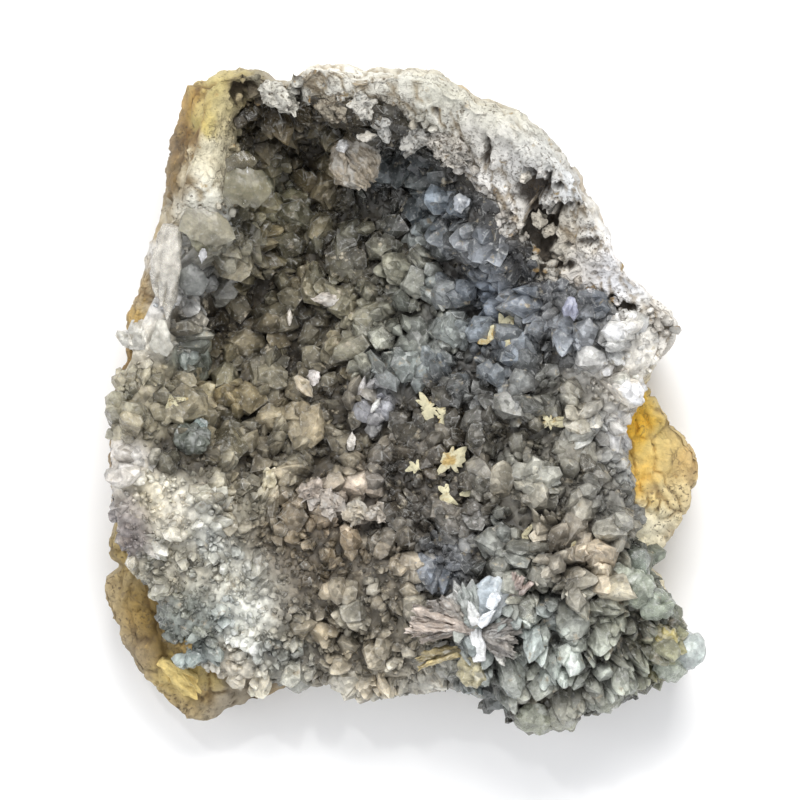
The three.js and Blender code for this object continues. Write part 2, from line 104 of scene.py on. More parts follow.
# The broken upper edge of the slab, as seen from above: x, y, going round from the right.
FRONT_EDGE = [
    (42.6, -9.2), (43.6, -2.2), (47.2, 4.2), (53, 11.6), (54.6, 15.8), (50, 20.5), (43.5, 26), (40, 32),
    (36, 40), (30, 47.5), (22, 55), (14, 58.5), (5, 63.5), (-2, 64.5), (-9, 64), (-14, 66), (-18, 66),
    (-21.6, 62.8), (-25.6, 62.6), (-28.5, 65), (-35.5, 64.8), (-38.5, 62), (-41, 50), (-44.5, 39),
    (-48.5, 31), (-52.5, 19.5), (-54, 9), (-56.5, -3), (-57, -12), (-56.2, -23), (-53.4, -31.2),
    (-47.4, -39.2), (-45.4, -47.2), (-40.4, -50.2), (-33.4, -54), (-24, -54), (-19, -52), (-13, -51),
    (-7, -54), (0, -53), (7, -52.5), (14, -53), (21, -54), (23.5, -58), (27, -59), (33, -55), (40, -52),
    (46, -49), (50, -45), (49, -40), (46.5, -34), (45, -28), (43.6, -19.2),
]

# The widest outline of the rock: beyond the front edge it shows as a lower shelf.
ROCK_OUTLINE = [
    (60, -12.8), (59.2, -9.2), (53, -2.2), (48.6, 3.6), (52.6, 10.6), (55.4, 15.8), (51.6, 20.2), (46, 24.8),
    (43, 29.8), (41.2, 35.8), (37.6, 42.2), (32, 49.8), (28.6, 54.2), (23.6, 58.4), (15.2, 61.2), (6, 66.8),
    (-1.4, 67.2), (-8.4, 66.6), (-13.4, 68.2), (-18, 68), (-21.4, 64.8), (-25.4, 64.6), (-28, 67),
    (-36, 66.6), (-39.4, 65), (-43.2, 64.4), (-44, 58.8), (-46.4, 52.8), (-47.4, 43.8), (-47.8, 39.8),
    (-50.4, 31.8), (-54.2, 19.8), (-56.2, 8.8), (-58.8, -3.2), (-59, -12.2), (-58.2, -24.2), (-58.8, -28.2),
    (-57.2, -33.2), (-60.6, -36.2), (-59.8, -40.8), (-56, -47.2), (-52.4, -55.2), (-47.4, -61.2),
    (-42.4, -64.2), (-32.4, -61.2), (-23.4, -57.6), (-18.5, -56.9), (-13.8, -55.3), (-10.5, -59.6),
    (-2, -58.4), (6, -57.2), (14.4, -57.6), (19.3, -59.4), (26.6, -66.2), (31.4, -64.4), (35.7, -61.8),
    (40.7, -60.3), (45.4, -58.2), (50.1, -55.7), (55.6, -53.7), (59.6, -50.1), (54.1, -39.3), (50.5, -32.5),
    (51, -31), (54.6, -27.2), (57.6, -21.2), (60, -16.2),
]

# Spot heights of the rock's upper face: x, y, z. First the outer rim, the pitted slope and the floor under
# the lip, then the left rim, the hollow, its right side, and the lower part where the crust bulges forward.
SPOT_HEIGHTS = [
    (-43, 62, 38), (-35, 62, 41), (-28, 63, 42), (-18, 66, 45), (-6, 65, 46), (8, 62, 47), (22, 55, 46),
    (32, 45, 44), (40, 32, 41), (47, 21, 37), (54, 16, 32),
    (-20, 60, 44), (-10, 57.5, 43), (-1, 57, 41), (9, 50, 37), (18, 42, 33), (28, 32, 31), (36, 23, 31),
    (43, 17, 30),
    (-27, 55, 16), (-22, 50, 13), (-14, 45, 12), (-12, 50, 17), (-4, 44, 14), (4, 42, 17), (-24, 38, 12),
    (-39, 54, 40), (-37, 43, 39), (-41, 34, 35), (-48, 23, 33), (-51, 12, 31), (-54, 3, 30),
    (-56, -6, 29), (-54, -16, 30), (-51, -25, 28), (-44, -11, 28), (-41, -19, 28),
    (-36, 22, 12), (-33, 10, 10), (-35, -1, 12), (-23, 15, 14), (-27, 1, 14), (-27, -9, 17),
    (-11, 20, 16), (-2, 32, 16), (-1, 10, 19), (15, 20, 19), (27, 11, 25), (9, -4, 22), (-10, -4, 19),
    (31, -6, 25), (39, 5, 27), (42, -8, 26), (40, -20, 27),
    (-10, -20, 23), (10, -20, 25), (27, -24, 27), (-20, -32, 24), (0, -36, 26), (15, -44, 29),
    (31, -40, 30), (44, -40, 28), (54, -48, 22), (35, -52, 26), (26, -60, 20), (8, -54, 22),
    (-8, -56, 20), (-20, -53, 20), (-30, -44, 24), (-40, -38, 25), (-36, -52, 18), (-50, -34, 22),
]

# The section's way from the front edge out to the widest outline: along, share of the shelf's width, share
# of the sudden drop, share of the rest of the drop. Then in to the foot: along, inset, share of the height.
SHELF_PROFILE = [
    (1.0, 0.0, 0.0, 0.0), (1.1, 0.06, 0.5, 0.0), (1.2, 0.1, 1.0, 0.0),
    (1.35, 0.5, 1.0, 0.35), (1.5, 0.88, 1.0, 0.78), (1.6, 1.0, 1.0, 1.0),
]
FOOT_PROFILE = [(1.75, 0.8, 0.55), (1.9, 3.4, 0.17), (2.0, FOOT_INSET, 0.0)]

# Bearing in degrees, height of the widest outline, share of the drop to it that is sudden.
SIDE_SHAPE = [
    (-60, 17, 0.3), (-40, 16, 0.3), (-31, 17, 0.7), (-22, 19, 0.85), (-5, 18, 0.85), (6, 21, 0.4),
    (16, 24, 0.2), (40, 28, 0.12), (75, 32, 0.12), (105, 32, 0.2), (125, 26, 0.35), (160, 20, 0.4),
    (190, 18, 0.4), (208, 17, 0.45), (225, 15, 0.5), (243, 13, 0.4), (260, 14, 0.3), (285, 15, 0.3),
]

# Bearing in degrees, share of the way to the front edge that the crust reaches.
CRUST_REACH = [
    (-38, 1.55), (-34, 1.4), (-28, 1.16), (-18, 1.1), (0, 1.03), (14, 0.95), (22, 0.88), (28, 0.85),
    (36, 0.76), (47, 0.68), (58, 0.69), (69, 0.72), (83, 0.8), (92, 0.86), (104, 0.89), (113, 0.94),
    (119, 0.86), (125, 0.76), (133, 0.78), (142, 0.88), (154, 0.93), (166, 0.97), (180, 1.0),
    (195, 1.05), (210, 1.1), (235, 1.14), (243, 1.16), (249, 1.42), (256, 1.5), (270, 1.5),
    (285, 1.55), (293, 1.6), (312, 1.6),
]

# Bearing in degrees, how far the upper part of the face hangs over the hollow.
OVERHANG = [(-60, 0), (20, 0), (60, 3), (80, 7), (112, 8), (128, 4), (150, 3), (185, 3), (215, 0)]

# Zones of growth: x, y, reach, size, slimness, lean x, lean y.
GROWTH = [
    (-27, 8, 16, 1.05, 1.0, 0.25, -0.1),
    (-12, 45, 12, 0.95, 1.0, 0.0, -0.5),
    (12, 24, 16, 1.0, 0.9, 0.0, -0.1),
    (12, -8, 16, 0.95, 0.95, 0.1, 0.1),
    (40, 0, 12, 1.0, 0.9, 0.3, 0.1),
    (-40, -36, 14, 0.66, 1.0, 0.0, 0.0),
    (-10, -42, 14, 0.75, 1.0, 0.0, -0.2),
    (34, -46, 14, 1.25, 0.72, 0.25, -0.75),
]


# Steps, blends, colours and noise.
def smooth(low: float, high: float, value: Array) -> Array:
    """A soft step from 0 at low to 1 at high: 3t squared less 2t cubed."""
    t = np.clip((value - low) / (high - low), 0.0, 1.0)
    return t * t * (3 - 2 * t)


def blend(a: Array, b: Array, share: Array) -> Array:
    """The value a share of the way from a to b."""
    return a + (b - a) * share


def unit(vectors: Array) -> Array:
    """The vectors, each divided by its length."""
    return vectors / np.maximum(np.linalg.norm(vectors, axis=-1, keepdims=True), 1e-9)


def fraction(value: Array) -> Array:
    """What is left of a number above the whole number below it."""
    return value - np.floor(value)


def light(colour: Sequence[float]) -> Array:
    """A colour given in screen values from 0 to 255, as linear light: a power of 2.2."""
    return (np.asarray(colour, float) / 255.0) ** 2.2


def zigzag(phase: Array) -> Array:
    """A wave with straight flanks, between -1 and 1, with the period of a sine."""
    return 4 * np.abs(fraction(phase / TURN) - 0.5) - 1


def lattice_random(cells: Array, channel: int) -> Array:
    """A number from 0 to 1 for every place of whole numbers, always the same for the same place.

    The three numbers are multiplied by large odd numbers, joined, and mixed by shifts and products.

    Args:
        cells: Whole numbers, three to a place along the last axis.
        channel: Picks one of many independent sets of numbers.

    Returns:
        One number for each place.
    """
    whole = cells.astype(np.int64).astype(np.uint64)
    mixed = whole[..., 0] * np.uint64(0x9E3779B97F4A7C15)
    mixed ^= whole[..., 1] * np.uint64(0xC2B2AE3D27D4EB4F)
    mixed ^= whole[..., 2] * np.uint64(0x165667B19E3779F9)
    mixed += np.uint64(channel * 0x27D4EB2F + 1)
    mixed ^= mixed >> np.uint64(33)
    mixed *= np.uint64(0xFF51AFD7ED558CCD)
    mixed ^= mixed >> np.uint64(33)
    return (mixed >> np.uint64(40)).astype(float) / float(1 << 24)


CUBE_CORNERS = np.indices((2, 2, 2)).reshape(3, -1).T
NEIGHBOURS = np.indices((3, 3, 3)).reshape(3, -1).T - 1


def noise(points: Array, size: float, channel: int = 0) -> Array:
    """Smooth noise between -1 and 1.

    The random numbers of the eight lattice corners round a point are blended by its soft-stepped place
    between them.

    Args:
        points: Places, three numbers each.
        size: The lattice's spacing.
        channel: Picks one of many independent patterns.

    Returns:
        One value for each place.
    """
    place = points / size
    corner = np.floor(place)
    share = place - corner
    share = share * share * (3 - 2 * share)
    total = np.zeros(points.shape[:-1])
    for step in CUBE_CORNERS:
        weight = np.prod(np.where(step == 1, share, 1 - share), axis=-1)
        total += weight * lattice_random(corner + step, channel)
    return 2 * total - 1


def layered(points: Array, size: float, layers: int, channel: int = 0) -> Array:
    """Noise of several sizes: each layer is half as large and half as strong as the one before."""
    parts = [noise(points, size / 2**k, channel + k) / 2**k for k in range(layers)]
    return sum(parts) / (2 - 0.5 ** (layers - 1))


def strays(points: Array, size: float, layers: int, channel: int) -> Array:
    """Layered noise in each of the three directions."""
    return np.stack([layered(points, size, layers, channel + layers * k) for k in range(3)], axis=-1)


def level_way(bearing: Array) -> Array:
    """Level unit vectors at the given bearings."""
    return np.stack([np.cos(bearing), np.sin(bearing), 0 * bearing], axis=-1)


def nearest_seeds(points: Array, spacing: float, channel: int) -> tuple[Array, ...]:
    """Distances to scattered seeds, of which one lies at a random place in each cell of a lattice.

    Args:
        points: Places, three numbers each.
        spacing: The lattice's spacing.
        channel: Picks one of many independent scatters.

    Returns:
        The distance to the nearest seed and to the second nearest, as shares of the spacing, and the
        nearest seed's own random number.
    """
    place = points / spacing
    cell = np.floor(place)
    first = np.full(points.shape[:-1], 9.0)
    second = first.copy()
    chance = np.zeros_like(first)
    for step in NEIGHBOURS:
        home = cell + step
        seed = home + np.stack([lattice_random(home, channel + axis) for axis in range(3)], axis=-1)
        away = np.linalg.norm(place - seed, axis=-1)
        nearer = away < first
        second = np.where(nearer, first, np.minimum(second, away))
        chance = np.where(nearer, lattice_random(home, channel + 3), chance)
        first = np.minimum(first, away)
    return first, second, chance


def zone_mean(rows: Rows, x: Array, y: Array) -> Array:
    """The zones' values at places seen from above: their mean, each weighted by a bell curve.

    Args:
        rows: One row a zone: x, y, reach and then its values.
        x: Places across.
        y: Places up.

    Returns:
        The values, along a new last axis.
    """
    total = np.zeros((*np.shape(x), len(rows[0]) - 3))
    weight = np.full(np.shape(x), 1e-12)
    for zone_x, zone_y, reach, *values in rows:
        near = np.exp(-((x - zone_x) ** 2 + (y - zone_y) ** 2) / (2 * reach**2))
        total += near[..., None] * np.array(values)
        weight += near
    return total / weight[..., None]


def round_curve(rows: Sequence[Pair]) -> Curve:
    """A closed curve as a function of the bearing, straight between rows of bearing and value."""
    bearings, values = np.array(rows, float).T
    return lambda bearing: np.interp(bearing, bearings, values, period=TURN)


def round_outline(points: Sequence[Pair]) -> Curve:
    """The distance from the middle to an outline, as a function of the bearing."""
    return round_curve([(math.atan2(y, x), math.hypot(x, y)) for x, y in points])


def round_table(rows: Rows, column: int) -> Curve:
    """A column of a table as a function of the bearing, which the first column gives in degrees."""
    return round_curve([(math.radians(row[0]), row[column]) for row in rows])


# The rock's form.
@dataclass(frozen=True)
class RockForm:
    """The form of the slab: a section through it at any bearing, as in the solid."""

    front: Curve = round_outline(FRONT_EDGE)
    outline: Curve = round_outline(ROCK_OUTLINE)
    shelf_height: Curve = round_table(SIDE_SHAPE, 1)
    sudden: Curve = round_table(SIDE_SHAPE, 2)
    crust_reach: Curve = round_table(CRUST_REACH, 1)
    overhang: Curve = round_table(OVERHANG, 1)
    spots: tuple[tuple[float, ...], ...] = tuple((x, y, SPOT_REACH, z) for x, y, z in SPOT_HEIGHTS)

    def relief(self, x: Array, y: Array) -> Array:
        """Height of the upper face: the bell-curve mean of the spot heights."""
        return zone_mean(self.spots, x, y)[..., 0]

    def lumps(self, x: Array, y: Array, z: Array) -> Array:
        """Broad unevenness: the sum of two products of zigzag waves, broad and small.

        Args:
            x: Places across.
            y: Places up.
            z: Heights.

        Returns:
            A number between about -1 and 1 for each place.
        """
        broad = zigzag(0.31 * x + 0.17 * y + 0.4) * zigzag(0.23 * y - 0.21 * z + 1.3)
        small = zigzag(0.57 * y + 0.43 * z - 0.33 * x) * zigzag(0.61 * x + 0.37 * z + 0.7)
        return 0.6 * broad + 0.4 * small

    def outer_side(self, bearing: Array, along: Array) -> tuple[Array, Array]:
        """The section beyond the front edge, straight between the rows of its two profiles.

        Args:
            bearing: Directions from the middle, in radians.
            along: Places along the section.

        Returns:
            The distance from the middle and the height at each place.
        """
        front = self.front(bearing)
        edge = self.relief(front * np.cos(bearing), front * np.sin(bearing))
        widest = np.maximum(self.outline(bearing), front + LEAST_SHELF)
        low, sudden = self.shelf_height(bearing), self.sudden(bearing)
        rows = [
            (at, blend(front, widest, out), blend(edge, low, first * sudden + rest * (1 - sudden)))
            for at, out, first, rest in SHELF_PROFILE
        ]
        rows += [(at, widest - inset, share * low) for at, inset, share in FOOT_PROFILE]
        stations = np.array([row[0] for row in rows])
        after = np.clip(np.searchsorted(stations, along), 1, len(rows) - 1)
        share = np.clip((along - stations[after - 1]) / (stations[after] - stations[after - 1]), 0, 1)
        found = []
        for column in (1, 2):
            values = np.stack([row[column] for row in rows])
            before = np.take_along_axis(values, (after - 1)[None], 0)[0]
            found.append(blend(before, np.take_along_axis(values, after[None], 0)[0], share))
        return found[0], found[1]

    def section(self, bearing: Array, along: Array) -> Array:
        """Points of the rock's surface.

        Along runs from 0 at the middle of the upper face, by 1 at the front edge and 2 at the edge of the
        flat underside, to 3 at the middle of the underside. On the face the height is the relief, pushed
        outward below the lip by the overhang, and every broken face has the lumps added.

        Args:
            bearing: Directions from the middle, in radians.
            along: Places along the section.

        Returns:
            The points, three numbers each.
        """
        bearing, along = np.broadcast_arrays(np.asarray(bearing, float), np.asarray(along, float))
        cos, sin = np.cos(bearing), np.sin(bearing)
        reach = along * self.front(bearing)
        height = self.relief(reach * cos, reach * sin)
        low = 1 - smooth(OVERHANG_LOW, OVERHANG_HIGH, height)
        reach = reach + self.overhang(bearing) * smooth(OVERHANG_START, OVERHANG_FULL, along) * low
        side_reach, side_height = self.outer_side(bearing, along)
        reach = np.where(along <= 1, reach, side_reach)
        height = np.where(along <= 1, height, side_height)
        uneven = LUMP_HEIGHT * self.lumps(reach * cos, reach * sin, height)
        reach = reach + uneven * smooth(0.95, 1.3, along) * (1 - smooth(1.75, 2.0, along))
        height = height + uneven * (1 - smooth(1.2, 1.9, along))
        foot = np.maximum(self.outline(bearing), self.front(bearing) + LEAST_SHELF) - FOOT_INSET
        reach = np.where(along >= 2, foot * (3 - along), reach)
        height = np.where(along >= 2, 0.0, height)
        return np.stack([reach * cos, reach * sin, height], axis=-1)

    def outward(self, bearing: Array, along: Array) -> Array:
        """Unit normals of the rock: the cross product of small steps down the section and round it.

        Args:
            bearing: Directions from the middle, in radians.
            along: Places along the section.

        Returns:
            The normals, or straight up where the steps are too short to tell.
        """
        step = 0.02
        across = self.section(bearing + step, along) - self.section(bearing - step, along)
        down = self.section(bearing, along + step) - self.section(bearing, np.maximum(0, along - step))
        normal = np.cross(down, across)
        flat = np.linalg.norm(normal, axis=-1, keepdims=True) < 1e-9
        return unit(np.where(flat, UP, normal))

    def growing(self, bearing: Array, along: Array) -> Array:
        """The way the crust grows: the normal inside the rim, turning evenly outward past it.

        Args:
            bearing: Directions from the middle, in radians.
            along: Places along the section.

        Returns:
            Unit vectors.
        """
        slope = smooth(0.7, 1.5, along) * GROWTH_TURN
        dome = np.sin(slope)[..., None] * level_way(bearing) + np.cos(slope)[..., None] * UP
        return unit(blend(self.outward(bearing, along), dome, smooth(0.85, 0.98, along)[..., None]))

    def below(self, x: Array, y: Array) -> tuple[Array, Array]:
        """Bearing and along of the places under points seen from above."""
        bearing = np.arctan2(y, x)
        return bearing, np.hypot(x, y) / self.front(bearing)

    def seat(self, x: float, y: float) -> Array:
        """The point of the upper surface under a place seen from above, on the face or on its outer side.

        Args:
            x: Place across.
            y: Place up.

        Returns:
            The point.
        """
        bearing, along = self.below(np.array(x), np.array(y))
        if along <= 1:
            return np.array([x, y, self.section(bearing, along)[2]])
        line = self.section(bearing, np.linspace(1, 1.6, 61))
        reach = np.maximum.accumulate(np.hypot(line[:, 0], line[:, 1]))
        return np.array([x, y, np.interp(math.hypot(x, y), reach, line[:, 2])])


FORM = RockForm()


# Meshes.
def placed(name: str, data: bpy.types.ID) -> bpy.types.Object:
    """A new object in the scene.

    Args:
        name: Its name.
        data: Its mesh, light or camera.

    Returns:
        The object, at the origin.
    """
    made = bpy.data.objects.new(name, data)
    bpy.context.scene.collection.objects.link(made)
    return made


@dataclass
class Surface:
    """A mesh under construction: points in millimetres, faces, values at points and at face corners."""

    points: Array
    faces: list[Array]
    values: dict[str, Array] = field(default_factory=dict)
    facet: Array | None = None

    @staticmethod
    def joined(parts: Sequence[Surface]) -> Surface:
        """Several surfaces as one mesh.

        Args:
            parts: The surfaces, which all carry the same values.

        Returns:
            The surface of all their points and faces.
        """
        starts = np.cumsum([0] + [len(part.points) for part in parts])
        faces = [face + start for part, start in zip(parts, starts) for face in part.faces]
        values = {key: np.concatenate([part.values[key] for part in parts]) for key in parts[0].values}
        facet = None if parts[0].facet is None else np.concatenate([part.facet for part in parts])
        return Surface(np.concatenate([part.points for part in parts]), faces, values, facet)

    def piece(
        self, name: str, material: bpy.types.Material, crease: float | None = None
    ) -> bpy.types.Object:
        """Makes the Blender object, on the root body.

        Args:
            name: The piece's name.
            material: Its finish.
            crease: Angle in degrees from which an edge is sharp, or None for flat faces.

        Returns:
            The object, at the origin, with its place in its mesh.
        """
        mesh = bpy.data.meshes.new(name)
        mesh.vertices.add(len(self.points))
        mesh.vertices.foreach_set("co", (self.points * MM).astype(np.float32).ravel())
        corners = np.concatenate([face.ravel() for face in self.faces]).astype(np.int32)
        sizes = np.concatenate([np.full(len(face), face.shape[1]) for face in self.faces])
        mesh.loops.add(len(corners))
        mesh.loops.foreach_set("vertex_index", corners)
        mesh.polygons.add(len(sizes))
        mesh.polygons.foreach_set("loop_start", (np.cumsum(sizes) - sizes).astype(np.int32))
        mesh.polygons.foreach_set("use_smooth", np.full(len(sizes), crease is not None))
        mesh.update(calc_edges=True)
        for key, value in self.values.items():
            if value.ndim == 1:
                layer = mesh.attributes.new(key, "FLOAT", "POINT")
                layer.data.foreach_set("value", value.astype(np.float32))
                continue
            colour = np.concatenate([value, np.ones((len(value), 1))], axis=1).astype(np.float32)
            layer = mesh.attributes.new(key, "FLOAT_COLOR", "POINT")
            layer.data.foreach_set("color", colour.ravel())
        if self.facet is not None:
            layer = mesh.uv_layers.new(name="facet")
            layer.data.foreach_set("uv", self.facet.astype(np.float32).ravel())
        mesh.validate()
        if crease is not None:
            mesh.set_sharp_from_angle(angle=math.radians(crease))
        mesh.materials.append(material)
        made = placed(name, mesh)
        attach(made, "root")
        log.info("%s: %d points, %d faces", name, len(self.points), len(sizes))
        return made


def closed_rows(rows: Array, values: dict[str, Array], facet: Array | None = None) -> Surface:
    """A closed surface from rings of points.

    The rings run from the top pole to the bottom pole, and each goes round counter-clockwise as seen from
    the top. The first and the last ring are a single point each.

    Args:
        rows: Points, by ring and by place in the ring.
        values: Values of the points, by ring and by place.
        facet: Place across and up the facet map, by ring and by place, or None for no map.

    Returns:
        The surface, of four-sided faces with three-sided ones at the poles.
    """
    count, around = rows.shape[:2]

    def flat(grid: Array) -> Array:
        """The grid as one list, with one entry for each pole."""
        return np.concatenate([grid[:1, 0], grid[1:-1].reshape(-1, *grid.shape[2:]), grid[-1:, 0]])

    index = 1 + np.arange((count - 2) * around).reshape(count - 2, around)
    turned = np.roll(index, -1, axis=1)
    quads = np.stack([index[:-1], index[1:], turned[1:], turned[:-1]], axis=-1).reshape(-1, 4)
    top = np.stack([np.zeros_like(index[0]), index[0], turned[0]], axis=-1)
    bottom = np.stack([index[-1], np.full_like(index[-1], index[-1, -1] + 1), turned[-1]], axis=-1)
    faces = [np.concatenate([top, bottom]), quads]
    if facet is not None:
        facet = np.concatenate([flat(facet)[face].reshape(-1, 2) for face in faces])
    return Surface(flat(rows), faces, {key: flat(grid) for key, grid in values.items()}, facet)


# Shader node groups and finishes.
class Wiring:
    """Adds nodes to a node tree, each with its values and links in one call."""

    def __init__(self, tree: bpy.types.NodeTree, owner: bpy.types.Material | None = None) -> None:
        """Empties the tree, to start afresh on it.

        Args:
            tree: The node tree of a material, a group or the surroundings.
            owner: The material it belongs to, if any.
        """
        self.tree = tree
        self.owner = owner
        tree.nodes.clear()

    def add(self, kind: str, sockets: dict | None = None, **settings: object) -> bpy.types.Node:
        """Adds a node.

        Args:
            kind: The node's type.
            sockets: Its inputs by name or number, each a value or the output to link to it.
            **settings: The node's own properties.

        Returns:
            The node.
        """
        node = self.tree.nodes.new(kind)
        for name, value in settings.items():
            setattr(node, name, value)
        for name, value in (sockets or {}).items():
            if isinstance(value, Socket):
                self.tree.links.new(value, node.inputs[name])
            else:
                node.inputs[name].default_value = value
        return node

    def mixed(self, share: object, a: object, b: object) -> Socket:
        """A colour a share of the way from a to b."""
        return self.add("ShaderNodeMix", {0: share, 6: a, 7: b}, data_type="RGBA").outputs[2]

    def scaled(self, colour: object, factor: object) -> Socket:
        """A colour times a number."""
        sockets = {0: 1.0, 6: colour, 7: factor}
        return self.add("ShaderNodeMix", sockets, data_type="RGBA", blend_type="MULTIPLY").outputs[2]

    def ranged(self, value: object, low: float, high: float, start: float = 0.0, end: float = 1.0) -> Socket:
        """The value moved from the range low to high to the one from start to end, and held inside it."""
        sockets = {0: value, 1: low, 2: high, 3: start, 4: end}
        return self.add("ShaderNodeMapRange", sockets).outputs[0]

    def maths(self, operation: str, a: object, b: object = 0.0) -> Socket:
        """The result of a sum, product or other operation on two numbers."""
        return self.add("ShaderNodeMath", {0: a, 1: b}, operation=operation).outputs[0]

    def plus(self, a: object, b: object) -> Socket:
        """The sum of two numbers."""
        return self.maths("ADD", a, b)

    def times(self, a: object, b: object) -> Socket:
        """The product of two numbers."""
        return self.maths("MULTIPLY", a, b)

    def vector(self, operation: str, a: object, b: object) -> Socket:
        """The result of a sum, product or other operation on two vectors."""
        return self.add("ShaderNodeVectorMath", {0: a, 1: b}, operation=operation).outputs[0]

    def speckle(self, vector: object, scale: object, detail: float = 4.0) -> Socket:
        """The value of a noise texture."""
        sockets = {"Vector": vector, "Scale": scale, "Detail": detail, "Roughness": 0.6}
        return self.add("ShaderNodeTexNoise", sockets).outputs[0]

    def attribute(self, name: str, output: str = "Fac") -> Socket:
        """A value that the mesh carries."""
        return self.add("ShaderNodeAttribute", attribute_name=name).outputs[output]

    def place(self) -> Socket:
        """The Object coordinates, in metres."""
        return self.add("ShaderNodeTexCoord").outputs["Object"]

    def grouped(self, build: Callable[[], bpy.types.ShaderNodeTree], sockets: dict) -> bpy.types.Node:
        """Adds a node group, which is built the first time it is asked for."""
        tree = bpy.data.node_groups.get(build.__name__) or build()
        return self.add("ShaderNodeGroup", sockets, node_tree=tree)

    def grain(self, place: Socket, scale: float) -> Socket:
        """The height of the fine grain."""
        return self.grouped(grain_group, {"Place": place, "Scale": scale}).outputs["Height"]

    def dusted(self, place: Socket, patch: Colour, scale: float, cover: float) -> Socket:
        """The tint that the mesh carries, with patches of a second colour.

        Args:
            place: The Object coordinates.
            patch: The patches' colour in screen values.
            scale: Repeats a metre.
            cover: How much of the surface they cover, from 0 to 1.

        Returns:
            The colour.
        """
        sockets = {"Place": place, "Scale": scale, "Cover": cover}
        sockets["Colour"] = self.attribute("tint", "Color")
        sockets["Patch"] = paint(patch)
        return self.grouped(dusting_group, sockets).outputs["Colour"]

    def bumped(self, strength: float, relief: float, height: Socket) -> Socket:
        """The normal that a height gives to the surface."""
        sockets = {"Strength": strength, "Distance": relief, "Height": height}
        return self.add("ShaderNodeBump", sockets).outputs[0]

    def principled(self, sockets: dict) -> None:
        """Adds the surface shader and the material's output."""
        shader = self.add("ShaderNodeBsdfPrincipled", sockets)
        self.add("ShaderNodeOutputMaterial", {"Surface": shader.outputs[0]})


def paint(colour: Colour) -> tuple[float, ...]:
    """A colour given in screen values, as a socket takes it."""
    return (*light(colour), 1)


def new_material(name: str) -> tuple[Wiring, Socket]:
    """Starts an empty material.

    Args:
        name: The material's name.

    Returns:
        Its wiring, and the Object coordinates in it.
    """
    made = bpy.data.materials.new(name)
    made.use_nodes = True
    wiring = Wiring(made.node_tree, made)
    return wiring, wiring.place()


def group_tree(name: str, inputs: dict[str, str], outputs: dict[str, str]) -> tuple[Wiring, object, object]:
    """An empty shader node group.

    Args:
        name: The group's name.
        inputs: Its inputs' names and socket types.
        outputs: Its outputs' names and socket types.

    Returns:
        The wiring of the group, its input node and its output node.
    """
    tree = bpy.data.node_groups.new(name, "ShaderNodeTree")
    for in_out, sockets in (("INPUT", inputs), ("OUTPUT", outputs)):
        for socket, kind in sockets.items():
            tree.interface.new_socket(name=socket, in_out=in_out, socket_type=kind)
    wiring = Wiring(tree)
    return wiring, wiring.add("NodeGroupInput"), wiring.add("NodeGroupOutput")


def dusting_group() -> bpy.types.ShaderNodeTree:
    """Patches of a second colour, such as dust or iron stain, where a noise is high.

    Returns:
        The group: Place, Colour, Patch, Scale and Cover in, Colour and Mask out. A Cover of 0 gives no
        patches, and 1 covers nearly everything.
    """
    number, colour, vector = "NodeSocketFloat", "NodeSocketColor", "NodeSocketVector"
    wiring, given, made = group_tree(
        "dusting_group",
        {"Place": vector, "Colour": colour, "Patch": colour, "Scale": number, "Cover": number},
        {"Colour": colour, "Mask": number},
    )
    coarse = wiring.speckle(given.outputs["Place"], given.outputs["Scale"], 6.0)
    edge = wiring.maths("SUBTRACT", 0.78, wiring.times(given.outputs["Cover"], 0.6))
    mask = wiring.ranged(wiring.maths("SUBTRACT", coarse, edge), -0.03, 0.06)
    patched = wiring.mixed(mask, given.outputs["Colour"], given.outputs["Patch"])
    wiring.tree.links.new(mask, made.inputs["Mask"])
    wiring.tree.links.new(patched, made.inputs["Colour"])
    return wiring.tree


def grain_group() -> bpy.types.ShaderNodeTree:
    """Fine grain: coarse and fine noise together.

    Returns:
        The group: Place and Scale in, Height out, between about 0 and 1.
    """
    wiring, given, made = group_tree(
        "grain_group",
        {"Place": "NodeSocketVector", "Scale": "NodeSocketFloat"},
        {"Height": "NodeSocketFloat"},
    )
    coarse = wiring.speckle(given.outputs["Place"], given.outputs["Scale"], 5.0)
    finer = wiring.times(given.outputs["Scale"], 4.1)
    fine = wiring.speckle(given.outputs["Place"], finer, 3.0)
    height = wiring.plus(wiring.times(coarse, 0.65), wiring.times(fine, 0.35))
    wiring.tree.links.new(height, made.inputs["Height"])
    return wiring.tree


def facets_group() -> bpy.types.ShaderNodeTree:
    """Small flat facets, each tilted and shaded its own way, as on a broken crystal face.

    In the cell round a scattered point, the height is the way from that point times the cell's own random
    direction, which makes a tilted plane.

    Returns:
        The group: Place and Scale in, Height about 0 and Tone between 0 and 1 out.
    """
    number = "NodeSocketFloat"
    wiring, given, made = group_tree(
        "facets_group", {"Place": "NodeSocketVector", "Scale": number}, {"Height": number, "Tone": number}
    )
    place, scale = given.outputs["Place"], given.outputs["Scale"]
    cells = wiring.add("ShaderNodeTexVoronoi", {"Vector": place, "Scale": scale}).outputs
    way = wiring.vector("SUBTRACT", place, cells["Position"])
    slope = wiring.vector("SUBTRACT", cells["Color"], (0.5, 0.5, 0.5))
    rise = wiring.add("ShaderNodeVectorMath", {0: way, 1: slope}, operation="DOT_PRODUCT").outputs["Value"]
    wiring.tree.links.new(wiring.times(rise, scale), made.inputs["Height"])
    tone = wiring.add("ShaderNodeSeparateColor", {0: cells["Color"]}).outputs[0]
    wiring.tree.links.new(tone, made.inputs["Tone"])
    return wiring.tree


